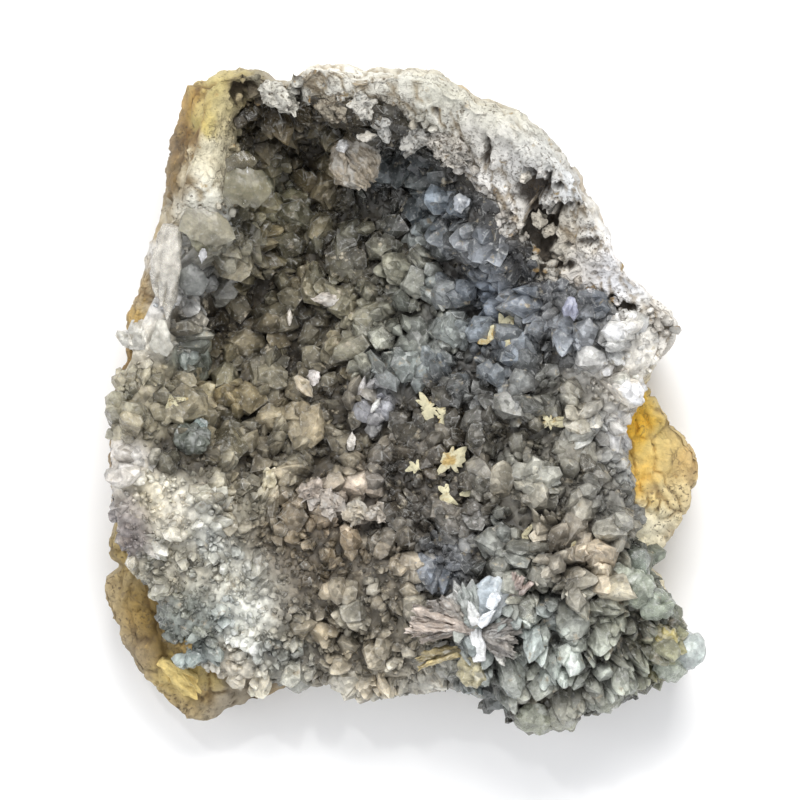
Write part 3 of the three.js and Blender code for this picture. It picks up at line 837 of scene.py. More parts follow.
@dataclass(frozen=True)
class StoneFinish:
    """Dull broken stone: the carried tint with grain, stain and dark flecks, and fine pores and thin curved
    cracks that have painted shade in them.

    Colours are screen values. Scales are repeats a metre, and the relief is in metres.
    """

    name: str
    stain: Colour
    stain_cover: float
    # The dark of the flecks, which is the stone's own, and of the painted shade in the pores and cracks.
    dark: Colour = (100, 86, 68)
    grain_scale: float = 900.0
    rubble_scale: float = 330.0
    pore_scale: float = 1250.0
    fleck_scale: float = 1500.0
    fleck_patch_scale: float = 140.0
    crack_scale: float = 190.0
    crack_bend_scale: float = 160.0
    crack_bend: float = 0.012
    crack_gap_scale: float = 170.0
    crack_strength: float = 0.5
    fleck_strength: float = 0.8
    grain_tones: Pair = (0.88, 1.08)
    rubble_tones: Pair = (0.86, 1.12)
    mark_depth: float = 0.6
    rubble_height: float = 1.6
    relief: float = 0.0013
    least_relief: float = 0.45
    roughness: Pair = (0.72, 0.95)
    ior: float = 1.55

    def material(self) -> bpy.types.Material:
        """Builds the material.

        Returns:
            The material, for a mesh that carries tint and worn.
        """
        wiring, place = new_material(self.name)
        grain = wiring.grain(place, self.grain_scale)
        stained = wiring.dusted(place, self.stain, 0.35 * self.grain_scale, self.stain_cover)
        rubble = wiring.speckle(place, self.rubble_scale, 7.0)
        pores = wiring.ranged(wiring.speckle(place, self.pore_scale, 3.0), 0.56, 0.64)
        pores = wiring.times(pores, wiring.attribute("worn"))
        flecks = wiring.speckle(place, self.fleck_scale, 2.0)
        flecks = wiring.ranged(flecks, 0.58, 0.66, 0.0, self.fleck_strength)
        flecked = wiring.ranged(wiring.speckle(place, self.fleck_patch_scale), 0.44, 0.58)
        flecks = wiring.times(flecks, flecked)
        # Painted shade in the pores and cracks, and the stone's dark flecks: they darken the colour and sink
        # the bump.
        pore_crack_shade_and_flecks = wiring.maths("MAXIMUM", pores, self.cracks(wiring, place))
        pore_crack_shade_and_flecks = wiring.maths("MAXIMUM", pore_crack_shade_and_flecks, flecks)
        colour = wiring.scaled(stained, wiring.ranged(grain, 0.36, 0.6, *self.grain_tones))
        colour = wiring.scaled(colour, wiring.ranged(rubble, 0.34, 0.6, *self.rubble_tones))
        height = wiring.maths("SUBTRACT", grain, wiring.times(pore_crack_shade_and_flecks, self.mark_depth))
        height = wiring.plus(height, wiring.times(rubble, self.rubble_height))
        rugged = wiring.ranged(wiring.attribute("worn"), 0.0, 0.8, self.least_relief, 1.0)
        height = wiring.times(height, rugged)
        wiring.principled(
            {
                "Base Color": wiring.mixed(pore_crack_shade_and_flecks, colour, paint(self.dark)),
                "Roughness": wiring.ranged(grain, 0.35, 0.65, *self.roughness),
                "Normal": wiring.bumped(0.9, self.relief, height),
                "IOR": self.ior,
            }
        )
        return wiring.owner

    def cracks(self, wiring: Wiring, place: Socket) -> Socket:
        """Thin lines of painted shade between plates: the borders of large cells, bent by noise and broken
        off in places.

        Args:
            wiring: The material's wiring.
            place: The Object coordinates.

        Returns:
            The mask of the cracks.
        """
        noise_sockets = {"Vector": place, "Scale": self.crack_bend_scale, "Detail": 3.0}
        bend = wiring.add("ShaderNodeTexNoise", noise_sockets).outputs[1]
        bent = wiring.add("ShaderNodeMix", {0: self.crack_bend, 4: place, 5: bend}, data_type="VECTOR")
        cell_sockets = {"Vector": bent.outputs[1], "Scale": self.crack_scale}
        cells = wiring.add("ShaderNodeTexVoronoi", cell_sockets, feature="DISTANCE_TO_EDGE")
        lines = wiring.ranged(cells.outputs["Distance"], 0.0, 0.05, 1.0, 0.0)
        gaps = wiring.speckle(place, self.crack_gap_scale, 2.0)
        broken = wiring.ranged(gaps, 0.5, 0.62, 0.0, self.crack_strength)
        return wiring.times(lines, broken)


@dataclass(frozen=True)
class CrystalFinish:
    """Celestite: the carried tint, cloudy within, with growth lines, dust, pale edges that are partly frost
    and partly painted highlights, and pale specks that are painted glints.

    Colours are screen values. Scales are repeats a metre, and depth and relief are in metres. The edges'
    width is a share of a facet, and the lines are repeats across one.
    """

    name: str
    transmission: float
    glow: float = 0.3
    glow_depth: float = 0.0012
    glow_reach: Triple = (1.0, 1.0, 0.9)
    # The pale colour of the frost on the edges, and of the painted highlights and glints.
    frost: Colour = (226, 227, 224)
    edge_width: float = 0.12
    edge_strength: float = 0.36
    dust: Colour = (176, 166, 146)
    dust_cover: float = 0.25
    cloud: Pair = (0.7, 1.2)
    granular: Pair = (0.85, 1.15)
    sparkle: float = 0.35
    grain_scale: float = 1100.0
    dust_scale: float = 420.0
    cloud_scale: float = 480.0
    sparkle_scale: float = 1500.0
    frayed_scale: float = 380.0
    lines: float = 14.0
    line_height: float = 0.8
    line_change: float = 160.0
    facet_scale: float = 820.0
    facet_tilt: float = 6.0
    facet_tones: Pair = (0.76, 1.2)
    relief: float = 0.00022
    roughness: Pair = (0.1, 0.5)
    ior: float = 1.62
    faceted: bool = True

    def material(self) -> bpy.types.Material:
        """Builds the material.

        Returns:
            The material, for a mesh that carries tint, satin and, if faceted, the facet map.
        """
        wiring, place = new_material(self.name)
        grain = wiring.grain(place, self.grain_scale)
        dusted = wiring.dusted(place, self.dust, self.dust_scale, self.dust_cover)
        clouded = wiring.ranged(wiring.speckle(place, self.cloud_scale), 0.36, 0.64, *self.cloud)
        colour = wiring.scaled(dusted, clouded)
        colour = wiring.scaled(colour, wiring.ranged(grain, 0.38, 0.62, *self.granular))
        facets = wiring.grouped(facets_group, {"Place": place, "Scale": self.facet_scale})
        colour = wiring.scaled(colour, wiring.ranged(facets.outputs["Tone"], 0.0, 1.0, *self.facet_tones))
        # Painted glints: pale specks where a fine noise is high. The pale edges, partly frost and partly
        # painted highlights, join them.
        glint_noise = wiring.speckle(place, self.sparkle_scale, 2.0)
        frost_and_glints = wiring.ranged(glint_noise, 0.6, 0.74, 0.0, self.sparkle)
        relief = wiring.plus(grain, wiring.times(facets.outputs["Height"], self.facet_tilt))
        if self.faceted:
            edges, lines = self.facet_marks(wiring, grain)
            frost_and_glints = wiring.maths("MAXIMUM", frost_and_glints, edges)
            relief = wiring.plus(relief, wiring.times(lines, self.line_height))
        satin = wiring.plus(wiring.attribute("satin"), wiring.ranged(grain, 0.4, 0.6, -0.2, 0.2))
        wiring.principled(
            {
                "Base Color": wiring.mixed(frost_and_glints, colour, paint(self.frost)),
                "Roughness": wiring.ranged(satin, 0.0, 1.0, *self.roughness),
                "Normal": wiring.bumped(0.7, self.relief, relief),
                "IOR": self.ior,
                "Transmission Weight": self.transmission,
                "Subsurface Weight": self.glow,
                "Subsurface Radius": self.glow_reach,
                "Subsurface Scale": self.glow_depth,
            }
        )
        return wiring.owner

    def facet_marks(self, wiring: Wiring, grain: Socket) -> tuple[Socket, Socket]:
        """Pale edges, partly frost and partly painted highlights, and growth lines, which follow each facet.

        Args:
            wiring: The material's wiring.
            grain: The grain, which breaks up the edges.

        Returns:
            The mask of the pale edges, and the height of the lines.
        """
        facet = wiring.add("ShaderNodeUVMap", uv_map="facet").outputs[0]
        across, up, _ = wiring.add("ShaderNodeSeparateXYZ", {0: facet}).outputs
        sides = [wiring.maths("MINIMUM", way, wiring.maths("SUBTRACT", 1.0, way)) for way in (across, up)]
        inside = wiring.maths("MINIMUM", *sides)
        worn = wiring.plus(inside, wiring.ranged(grain, 0.35, 0.65, 0.1, -0.1))
        mask = wiring.ranged(worn, 0.0, self.edge_width, self.edge_strength, 0.0)
        frayed = wiring.ranged(wiring.speckle(wiring.place(), self.frayed_scale, 2.0), 0.5, 0.6)
        stretched = wiring.add("ShaderNodeMapping", {0: facet, 3: (self.lines, 1.2, 1.0)}).outputs[0]
        change = wiring.vector("MULTIPLY", wiring.place(), (self.line_change,) * 3)
        lines = wiring.speckle(wiring.vector("ADD", stretched, change), 1.0, 2.0)
        return wiring.times(mask, frayed), lines


# Colours of the rock by zone: x, y, reach, colour in screen values, wear from smooth 0 to pitted 1, and the
# depth of the painted shade low on its crumbs.
ROCK_TINTS = [
    # The brown and grey outer side of the left rim.
    (-43, 60, 2.2, 146, 114, 62, 0.2, 0.3), (-44.6, 51.4, 2, 96, 70, 36, 0.3, 0.4),
    (-46, 44, 2.4, 100, 78, 44, 0.3, 0.3), (-48.5, 36, 2.2, 150, 132, 98, 0.3, 0.3),
    # The yellow corner at the top left, and the cream face of the left rim below it.
    (-36, 62, 4, 188, 174, 120, 0.2, 0.3), (-38.8, 55.4, 1.4, 184, 166, 96, 0.2, 0.3),
    (-33.5, 56, 2.5, 202, 190, 158, 0.5, 0.4), (-37, 48, 3.5, 218, 210, 182, 0.3, 0.4),
    (-41, 41, 3.5, 224, 222, 210, 0.2, 0.3), (-42, 35, 3.5, 208, 209, 206, 0.2, 0.3),
    # The dark notch beside the corner.
    (-31, 62, 2, 112, 100, 82, 0.9, 0.8), (-26, 63, 3, 152, 148, 138, 0.8, 0.7),
    # The left side further down: white masses, and an outer side stained ochre and brown.
    (-47, 26, 4, 208, 206, 202, 0.2, 0.2), (-52.5, 24, 2, 150, 122, 74, 0.3, 0.3),
    (-54.5, 15, 2.5, 176, 146, 88, 0.3, 0.3), (-56.5, 6, 2.2, 122, 98, 60, 0.4, 0.4),
    (-58.4, -4, 2.2, 150, 124, 84, 0.4, 0.4), (-58.4, -11, 2.2, 118, 96, 66, 0.4, 0.4),
    (-50, -15, 6, 214, 208, 200, 0.2, 0.3), (-57.4, -21, 2.2, 150, 132, 106, 0.4, 0.4),
    (-56, -29, 3, 156, 134, 82, 0.3, 0.3), (-58.5, -37, 3.2, 168, 148, 108, 0.15, 0.3),
    # The yellow-brown block at the lower left.
    (-53, -42, 2.6, 140, 116, 66, 0.4, 0.4), (-54, -51, 3, 132, 114, 82, 0.2, 0.3),
    (-48, -45, 2.6, 118, 96, 52, 0.6, 0.5), (-43.6, -55.4, 3, 204, 180, 112, 0.1, 0.3),
    (-43, -62, 3, 144, 124, 84, 0.2, 0.3), (-32, -60, 4, 148, 138, 120, 0.4, 0.4),
    # The lip along the top, pale outside and worn inside.
    (-21, 60, 3.5, 198, 196, 186, 0.6, 0.6), (-13, 63, 5, 228, 225, 214, 0.4, 0.4),
    (-4, 59, 3.5, 176, 172, 162, 0.8, 0.7), (0, 65, 5, 220, 218, 206, 0.35, 0.3),
    (10, 63, 5, 200, 198, 184, 0.15, 0.2), (20, 59, 6, 194, 192, 178, 0.15, 0.2),
    (30, 50, 5, 196, 196, 190, 0.12, 0.2),
    # The pitted slope at the upper right, the blue-white rim outside it, and the point.
    (14, 48, 6, 254, 250, 244, 0.65, 0.62), (25, 45, 4, 206, 206, 206, 0.5, 0.6),
    (33, 43, 2.5, 228, 233, 240, 0.1, 0.3), (22, 39, 5, 254, 249, 240, 0.65, 0.62),
    (34, 33, 5, 208, 200, 182, 0.6, 0.6), (40, 28, 5, 226, 224, 226, 0.5, 0.6),
    (42, 37, 3, 244, 248, 253, 0.05, 0.2), (46, 26, 3, 246, 249, 253, 0.1, 0.3),
    (52, 17, 5, 222, 218, 210, 0.4, 0.5),
    # The yellow lump behind at the right, orange near the crust and cream at its foot.
    (53, -9, 5, 200, 177, 112, 0.3, 0.3), (47, -4, 2.4, 250, 194, 58, 0.4, 0.2),
    (49, -14, 2, 250, 192, 72, 0.4, 0.2), (55, -15, 4, 210, 190, 142, 0.4, 0.3),
    (58, -11, 2.5, 206, 160, 84, 0.5, 0.4), (50, -27, 4, 230, 222, 194, 0.3, 0.3),
    # The broken side below the crust.
    (-4, -59, 8, 150, 146, 134, 0.5, 0.4), (32, -66, 6, 152, 150, 144, 0.4, 0.4),
    (58, -57, 5, 144, 142, 138, 0.4, 0.4),
]

# How much finer the rock's plates are across, up and in height.
PLATE_SHAPE = np.array([1.3, 0.7, 1.0])

# Cavities in the upper face: x, y, reach across, reach up, depth.
CAVITIES = [
    # The caves and grooves of the pitted slope.
    (26.2, 42.5, 3.8, 3.6, 3.8), (28, 35.5, 3.6, 5.4, 4.6), (32, 39, 3.4, 1, 2.6), (27.5, 27.8, 4.8, 3, 2.6),
    (16.6, 50.4, 0.9, 3.2, 2), (9.3, 48.5, 1.4, 2.9, 2.4), (20.5, 51.5, 2, 1.3, 0.8),
    (36.6, 32.2, 1.9, 0.6, 1.4), (32.5, 31.6, 1.6, 0.6, 1.4), (21.4, 37.6, 1.4, 0.9, 1.4),
    # The lip's lower edge and the notch.
    (-9.5, 58.3, 1.9, 1.4, 2.2), (-3.4, 56.6, 2.4, 1.2, 2), (3, 55, 1.5, 0.9, 1.4),
    (-22, 60.5, 2.4, 1.2, 2.2), (-31.8, 61.5, 1.9, 3.4, 2.4), (6.8, 57.5, 0.8, 1.4, 1.4),
    # The point at the right, and the left side.
    (42, 18.5, 3.4, 2.2, 2.2), (-40, -45.5, 1.4, 3, 1.6), (-45.6, 47, 1, 1.2, 1), (-47.2, 40.5, 1.2, 1, 1),
]

# Colours of the crystals by zone: x, y, reach, colour in screen values, satin from glassy 0 to matt 1, and
# the depth of the painted shade between them.
CRYSTAL_TINTS = [
    # The brown left half of the hollow, up to the dark under the lip.
    (-37, -1, 5, 118, 110, 86, 0.6, 0.95), (-24, 12, 8, 128, 120, 99, 0.9, 0.95),
    (-26, 27, 6, 106, 98, 76, 0.5, 0.95), (-15, 32, 5, 124, 122, 108, 0.25, 0.85),
    (-20, 50, 7, 114, 105, 84, 0.5, 0.85), (-22, -8, 7, 138, 131, 114, 0.6, 0.9),
    # The pale crystals beside the clear slabs.
    (-27, 43, 4, 182, 178, 144, 0.1, 0.3), (-38, 34, 4, 196, 192, 172, 0.2, 0.3),
    # The slate, grey and green-grey middle and right of the hollow, with a pale violet spot.
    (3, 43, 6, 96, 103, 107, 0.2, 0.75), (18, 29, 8, 132, 138, 146, 0.2, 0.78),
    (-3, 26, 7, 142, 138, 118, 0.6, 0.75), (4, 14, 6, 160, 166, 162, 0.25, 0.6),
    (-4.5, 0.6, 2.2, 210, 210, 218, 0.1, 0.2), (34, 18, 5, 154, 160, 168, 0.15, 0.6),
    (12, -4, 5, 104, 97, 84, 0.4, 0.9), (17, 4, 6, 132, 138, 144, 0.2, 0.75),
    (26, -4, 6, 160, 159, 149, 0.4, 0.65),
    # The white masses of the right edge, and the grey crystals beside them.
    (43, 8, 5, 252, 247, 237, 0.6, 0.1), (45, -7, 4, 242, 243, 246, 0.5, 0.1),
    (52, 13, 5, 246, 242, 232, 0.6, 0.2), (34, -13, 7, 180, 176, 162, 0.55, 0.6),
    (42, -21, 4, 184, 184, 176, 0.4, 0.5),
    # The left wall: white and grey masses, painted shade in a recess, and a cream patch.
    (-47, 25, 4.5, 252, 250, 247, 0.6, 0.02), (-42.5, 24, 2.4, 150, 152, 150, 0.3, 0.3),
    (-49, 12, 3, 214, 208, 194, 0.4, 0.1), (-38, 15, 4, 66, 58, 40, 0.6, 1),
    (-43.6, 9.5, 2, 128, 140, 132, 0.2, 0.3), (-50, 2, 4, 200, 190, 162, 0.4, 0.35),
    (-46, -2.6, 1.6, 220, 211, 182, 0.9, 0.1), (-42, -4, 3.4, 120, 114, 98, 0.5, 0.8),
    # The lower left: frosted white and fine pale green, with a violet-grey edge.
    (-55, -13, 3, 216, 210, 202, 0.5, 0.1), (-51, -19, 3, 218, 209, 184, 0.6, 0.03),
    (-56, -24, 2.4, 178, 168, 166, 0.2, 0.4), (-44, -22, 3.4, 226, 221, 206, 0.5, 0.03),
    (-38, -26, 3, 222, 226, 222, 0.4, 0.1), (-33, -21, 4, 200, 194, 174, 0.4, 0.4),
    (-31, -38, 5, 238, 239, 229, 0.35, 0.05), (-41, -33, 4, 216, 209, 188, 0.4, 0.4),
    (-42, -42, 3.4, 160, 168, 161, 0.15, 0.4), (-32, -53, 3, 232, 224, 206, 0.6, 0.25),
    (-24, -52, 3.5, 206, 206, 194, 0.4, 0.5),
    # The brown-grey lower middle, with rosy and slate-blue spots.
    (-20, -31, 6, 150, 136, 114, 0.5, 0.7), (-12, -20, 3.5, 216, 202, 190, 0.8, 0.5),
    (-8, -33, 5, 182, 170, 149, 0.6, 0.7), (5, -21, 6, 124, 118, 108, 0.4, 0.8),
    (8.6, -31, 3, 150, 158, 170, 0.1, 0.5), (-10, -46, 7, 160, 152, 134, 0.5, 0.7),
    (-4, -57, 7, 222, 214, 196, 0.6, 0.35), (24, -33, 5, 136, 138, 132, 0.4, 0.8),
    # The lower right: tan blocks, green-grey masses, a yellow-green patch and the clear tip.
    (34, -31, 4.5, 176, 159, 136, 0.8, 0.75), (51, -34, 4, 150, 158, 142, 0.3, 0.4),
    (34, -46, 7, 184, 190, 182, 0.45, 0.75), (45, -44, 5, 158, 161, 147, 0.5, 0.75),
    (52, -48, 3, 180, 170, 112, 0.5, 0.6), (59, -50, 3, 208, 213, 209, 0.15, 0.1),
    (28, -60, 5, 156, 154, 141, 0.5, 0.7), (18, -55, 3.5, 152, 158, 156, 0.3, 0.6),
]

# How the crystals grow by zone: x, y, reach, share of the places with large blocks, with middling and with
# fine ones, and how deep they are sunk in the crust.
HABITS = [
    # The hollow.
    (-25, 8, 13, 1, 0.35, 0.05, 0), (-14, 46, 12, 0.8, 0.6, 0.3, 0.2), (12, 24, 14, 1, 0.6, 0.25, 0.1),
    (12, -8, 14, 0.95, 0.65, 0.35, 0.1),
    # Its right edge.
    (44, 4, 6, 0.2, 0.3, 0.3, 0.9), (34, -12, 7, 0.7, 0.7, 0.4, 0.2),
    # The left wall.
    (-48, 22, 5, 0, 0.05, 0.1, 0.95), (-44, 26, 3.5, 0.05, 0.1, 0.15, 0.95),
    (-47, 12, 3.5, 0.1, 0.2, 0.2, 0.9), (-37, 15, 4, 0.9, 0.5, 0.1, 0.1), (-50, 2, 4, 0.5, 0.5, 0.3, 0.5),
    # The lower left.
    (-52, -16, 5, 0.08, 0.2, 0.4, 0.92), (-38, -35, 9, 0.12, 0.75, 1, 0.15),
    (-43, -22, 4, 0.05, 0.25, 0.7, 0.8), (-31, -38, 4, 0.1, 0.6, 0.9, 0.6),
    # The lower middle and the lower right.
    (-8, -42, 11, 0.5, 0.9, 0.6, 0.1), (36, -48, 11, 0.95, 0.8, 0.4, 0), (51, -34, 4, 0.2, 0.3, 0.3, 0.9),
    (59, -50, 4, 0.2, 0.3, 0.3, 0.9),
]

# The painted shade between the crystals and low on the crumbs, in screen values.
GAP_SHADE_COLOUR = (46, 38, 23)

# Painted light and shade up each crystal, as brightness at its root, its shoulder, its broken top and its
# tip.
RING_LIGHT_AND_SHADE = (0.62, 0.84, 1.17, 1.26)

# The rock and the crust on it.
@dataclass(frozen=True)
class HostRock:
    """The pale rock of the slab, with its broken sides, its pitted slope and its flat underside.

    Spacings, reliefs and heights are in millimetres. Each size of pit has a spacing, a depth and a channel
    of random numbers.
    """

    around: int = 680
    hidden_rows: int = 8
    shown_rows: int = 108
    foot_rows: int = 3
    pit_sizes: tuple[tuple[float, float, int], ...] = ((2.2, 1.0, 10), (1.2, 0.6, 20))
    plate_spacing: float = 5.0
    plate_relief: float = 0.5
    broad_relief: float = 1.0
    fine_relief: float = 0.4
    sunk: float = 0.25
    nodule_spacing: float = 2.0
    nodule_height: float = 1.6
    # The painted shade in the grooves between plates.
    groove_colour: Colour = (150, 130, 96)
    side_colour: Colour = (176, 164, 140)
    rust_colour: Colour = (176, 142, 84)
    # The painted shade in the pits.
    pit_colour: Colour = (56, 46, 35)
    foot_colour: Colour = (190, 180, 158)
    finish: StoneFinish = StoneFinish("pale limestone", stain=(166, 140, 92), stain_cover=0.2)

    def stations(self, bearing: Array) -> Array:
        """Places along each section: few under the crust, many over the shown stretch.

        Args:
            bearing: Directions of the sections.

        Returns:
            The places, by row and by section.
        """
        start = 0.92 * FORM.crust_reach(bearing)
        hidden = np.linspace(0, 1, self.hidden_rows, endpoint=False)[:, None] * start
        shown = start + (2 - start) * np.linspace(0, 1, self.shown_rows)[:, None]
        foot = np.linspace(2, 3, self.foot_rows + 1)[1:, None] * np.ones_like(start)
        return np.concatenate([hidden, shown, foot])

    def pitting(self, points: Array, worn: Array) -> Array:
        """Depth of the pits.

        A small pit is as deep as the soft step of the nearness to a scattered seed, in those cells whose
        random number is high. A cavity is the same round its own middle, with an edge that noise frays.
        Seeds of a second scatter raise nodules in the cavities.

        Args:
            points: Places on the surface.
            worn: How pitted each place is.

        Returns:
            The depth at each place.
        """
        frayed = points + 0.35 * strays(points, 0.9, 1, 60)
        depth = np.zeros(worn.shape)
        for spacing, strength, channel in self.pit_sizes:
            away, _, chance = nearest_seeds(frayed, spacing, channel)
            depth = depth + strength * worn * (1 - smooth(0.12, 0.52, away)) * (chance > 0.4)
        ragged = 1 + 0.6 * noise(points, 2.1, 40) + 0.35 * noise(points, 0.9, 41)
        for x, y, across, up, deep in CAVITIES:
            away = np.hypot((points[..., 0] - x) / across, (points[..., 1] - y) / up) / ragged
            depth = np.maximum(depth, deep * (1 - smooth(0.7, 1.1, away)) * (points[..., 2] > 20))
        away, _, chance = nearest_seeds(points, self.nodule_spacing, 30)
        nodules = self.nodule_height * (1 - smooth(0.2, 0.55, away)) * (chance > 0.6)
        nodules = nodules * smooth(1.2, 2.4, depth)
        return depth - nodules

    def surface(self) -> Surface:
        """The rock's closed surface: the section's points, moved along the normal by noise and pits.

        Plates are the cells round scattered seeds: a place is raised by the soft step of how much further it
        is from the second nearest seed than from the nearest.

        Returns:
            The surface, which carries its tint and how worn it is.
        """
        bearing = np.linspace(0, TURN, self.around, endpoint=False)[None, :]
        along = self.stations(bearing)
        bearing = np.broadcast_to(bearing, along.shape)
        points = FORM.section(bearing, along)
        normal = FORM.outward(bearing, along)
        looks = zone_mean(ROCK_TINTS, points[..., 0], points[..., 1])
        worn = looks[..., 3] * (1 - smooth(1.0, 1.12, along))
        broken = smooth(0.0, 0.12, along) * (1 - smooth(1.94, 2.0, along))
        rough = 0.6 + 0.4 * np.maximum(worn, smooth(1.1, 1.3, along))
        warped = points + 2.5 * strays(points, 5.0, 3, 0)
        nearest, second, _ = nearest_seeds(warped * PLATE_SHAPE, self.plate_spacing, 50)
        plates = 1.5 * smooth(0.0, 0.22, second - nearest) - 1.0
        raised = self.plate_relief * plates + self.broad_relief * layered(points, 6.0, 4, 5)
        raised = rough * (raised + self.fine_relief * layered(points, 1.3, 2, 9))
        depth = self.pitting(points, worn)
        points = points + normal * (broken * (raised - self.sunk) - depth)[..., None]
        points = np.clip(points, np.array(cad_low) / MM, np.array(cad_high) / MM)
        points[..., 2] = np.where(along >= 2, 0.0, np.maximum(points[..., 2], 0.0))
        groove = 1 - smooth(0.02, 0.16, second - nearest)
        return closed_rows(points, {"tint": self.tints(points, along, depth, groove), "worn": worn})

    def tints(self, points: Array, along: Array, depth: Array, groove: Array) -> Array:
        """Colours: the zones' mean, stained in patches, with painted shade in the pits and grooves.

        Args:
            points: Places on the surface.
            along: Their places along the section.
            depth: Depth of the pits there.
            groove: How near each is to a border between plates, up to 1.

        Returns:
            Linear colour at each point.
        """
        warped = points + 4.0 * strays(points, 3.4, 5, 70)
        looks = zone_mean(ROCK_TINTS, warped[..., 0], warped[..., 1])
        shade = 1 + 0.15 * layered(points, 4.0, 4, 80)
        tint = light(looks[..., :3]) * shade[..., None]
        # Painted shade in the open grooves between plates.
        groove_shade = groove * smooth(-0.2, 0.3, layered(points, 8.0, 2, 85))
        tint = blend(tint, tint * light(self.groove_colour), 0.8 * groove_shade[..., None])
        side = smooth(1.35, 1.65, along)[..., None]
        tint = blend(tint, 0.55 * tint + 0.45 * light(self.side_colour), side)
        rusty = smooth(0.18, 0.5, layered(points, 9.0, 4, 90))[..., None] * (0.2 + 0.5 * side)
        tint = blend(tint, light(self.rust_colour), rusty * 0.6)
        # Painted shade in the pits, darker the deeper they are.
        hollow = smooth(0.5, 1.7, depth)[..., None]
        tint = blend(tint, light(self.pit_colour), 0.9 * hollow)
        under = smooth(1.93, 2.0, along)[..., None]
        return np.clip(blend(tint, light(self.foot_colour), 0.7 * under), 0, 1)

    def build(self) -> None:
        """Makes the piece in place of the rock's solid."""
        made = self.surface().piece("host_rock_surface", self.finish.material(), crease=50)
        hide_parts("host_rock")


def looks_at(rows: Rows, place: Array) -> tuple[Array, ...]:
    """The looks of places seen from above: the zones' mean, with borders that noise frays.

    Args:
        rows: The table of zones.
        place: Places, three numbers each.

    Returns:
        Colour in linear light, satin or wear, and depth of the painted shade in the gaps.
    """
    moved = place + 3.0 * strays(place, 6.0, 3, 180)
    mean = zone_mean(rows, moved[..., 0], moved[..., 1])
    return light(mean[..., :3]), mean[..., 3], mean[..., 4]


@dataclass(frozen=True)
class CrustSheet:
    """The massive celestite that the crystals stand on, closed underneath inside the rock.

    It is a little thinner than the solid's crust, by one measure in the middle and another at the edge.
    """

    around: int = 420
    top_rows: int = 108
    under_rows: int = 8
    nub_spacing: float = 1.7
    nub_height: float = 0.9
    nub_sink: float = 0.4
    thinner: Pair = (0.5, 0.4)
    root_depth: float = 0.8
    finish: CrystalFinish = CrystalFinish(
        "massive celestite", 0.0, faceted=False, roughness=(0.35, 0.8), facet_tones=(0.86, 1.12), sparkle=0.1
    )

    def surface(self) -> Surface:
        """The sheet: the rock's section raised by the crust's thickness, with conical nubs, and its root.

        Returns:
            The closed surface, with painted shade over it by zone, deeper in the gaps between the nubs.
        """
        bearing = np.linspace(0, TURN, self.around, endpoint=False)[None, :]
        down = np.sqrt(np.linspace(0, 1, self.top_rows))[:, None]
        back = np.linspace(1, 0, self.under_rows)[:, None] ** 0.7
        share = np.concatenate([down, back])
        top = np.concatenate([np.ones_like(down), np.zeros_like(back)])
        along = share * FORM.crust_reach(bearing)
        bearing = np.broadcast_to(bearing, along.shape)
        points = FORM.section(bearing, along)
        normal = FORM.growing(bearing, along)
        away, _, chance = nearest_seeds(points, self.nub_spacing, 110)
        massive = zone_mean(HABITS, points[..., 0], points[..., 1])[..., 3]
        nubs = self.nub_height * (0.6 + 0.6 * chance) * (1 - away) * (1 - 0.7 * massive)
        inner, edge = CRUST_THICKNESS - self.thinner[0], CRUST_EDGE_THICKNESS - self.thinner[1]
        thick = blend(inner, edge, smooth(0.93, 1.0, share))
        lift = np.where(top > 0, thick + nubs - self.nub_sink, -self.root_depth)
        points = points + normal * lift[..., None]
        tint, satin, gap_shade = looks_at(CRYSTAL_TINTS, points)
        # Painted shade on the sheet by zone, deeper in the gaps between its nubs.
        shown = (1 - gap_shade) * (1 - 0.6 * smooth(0.35, 0.8, away) * np.minimum(1, gap_shade + 0.3))
        tint = blend(light(GAP_SHADE_COLOUR) * np.ones_like(tint), tint, shown[..., None])
        return closed_rows(points, {"tint": tint, "satin": satin})

    def build(self) -> None:
        """Makes the piece in place of the crust's solid."""
        made = self.surface().piece("crust_sheet", self.finish.material(), crease=35)
        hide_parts("celestite_crust")


# Ranges that a crystal's form is drawn from: the height of its shoulder, how much of its top is broken off
# and how far its ridge is drawn in, all as shares, and how far the corners of its outline are moved.
SHOULDERS = (0.35, 0.7)
TOP_DROPS = (0.25, 0.9)
RIDGES = (0.45, 1.0)
CORNER_SHIFTS = (-0.3, 0.3)
CORNER_REACHES = (0.86, 1.16)

# The same for a smaller crystal of a family, as shares of the first one's width, length and thickness.
MEMBER_PLACES = (0.25, 0.5)
MEMBER_LENGTHS = (0.6, 0.95)
MEMBER_WIDTHS = (0.5, 0.8)
MEMBER_THICKNESSES = (0.5, 0.85)

# Height over the rock at which crystals of size 1 come out of the painted shade between them, and the shares
# of it where that begins and ends.
GAP_SHADE_HEIGHT = 6.0
GAP_SHADE_SHARES = (0.36, 1.16)


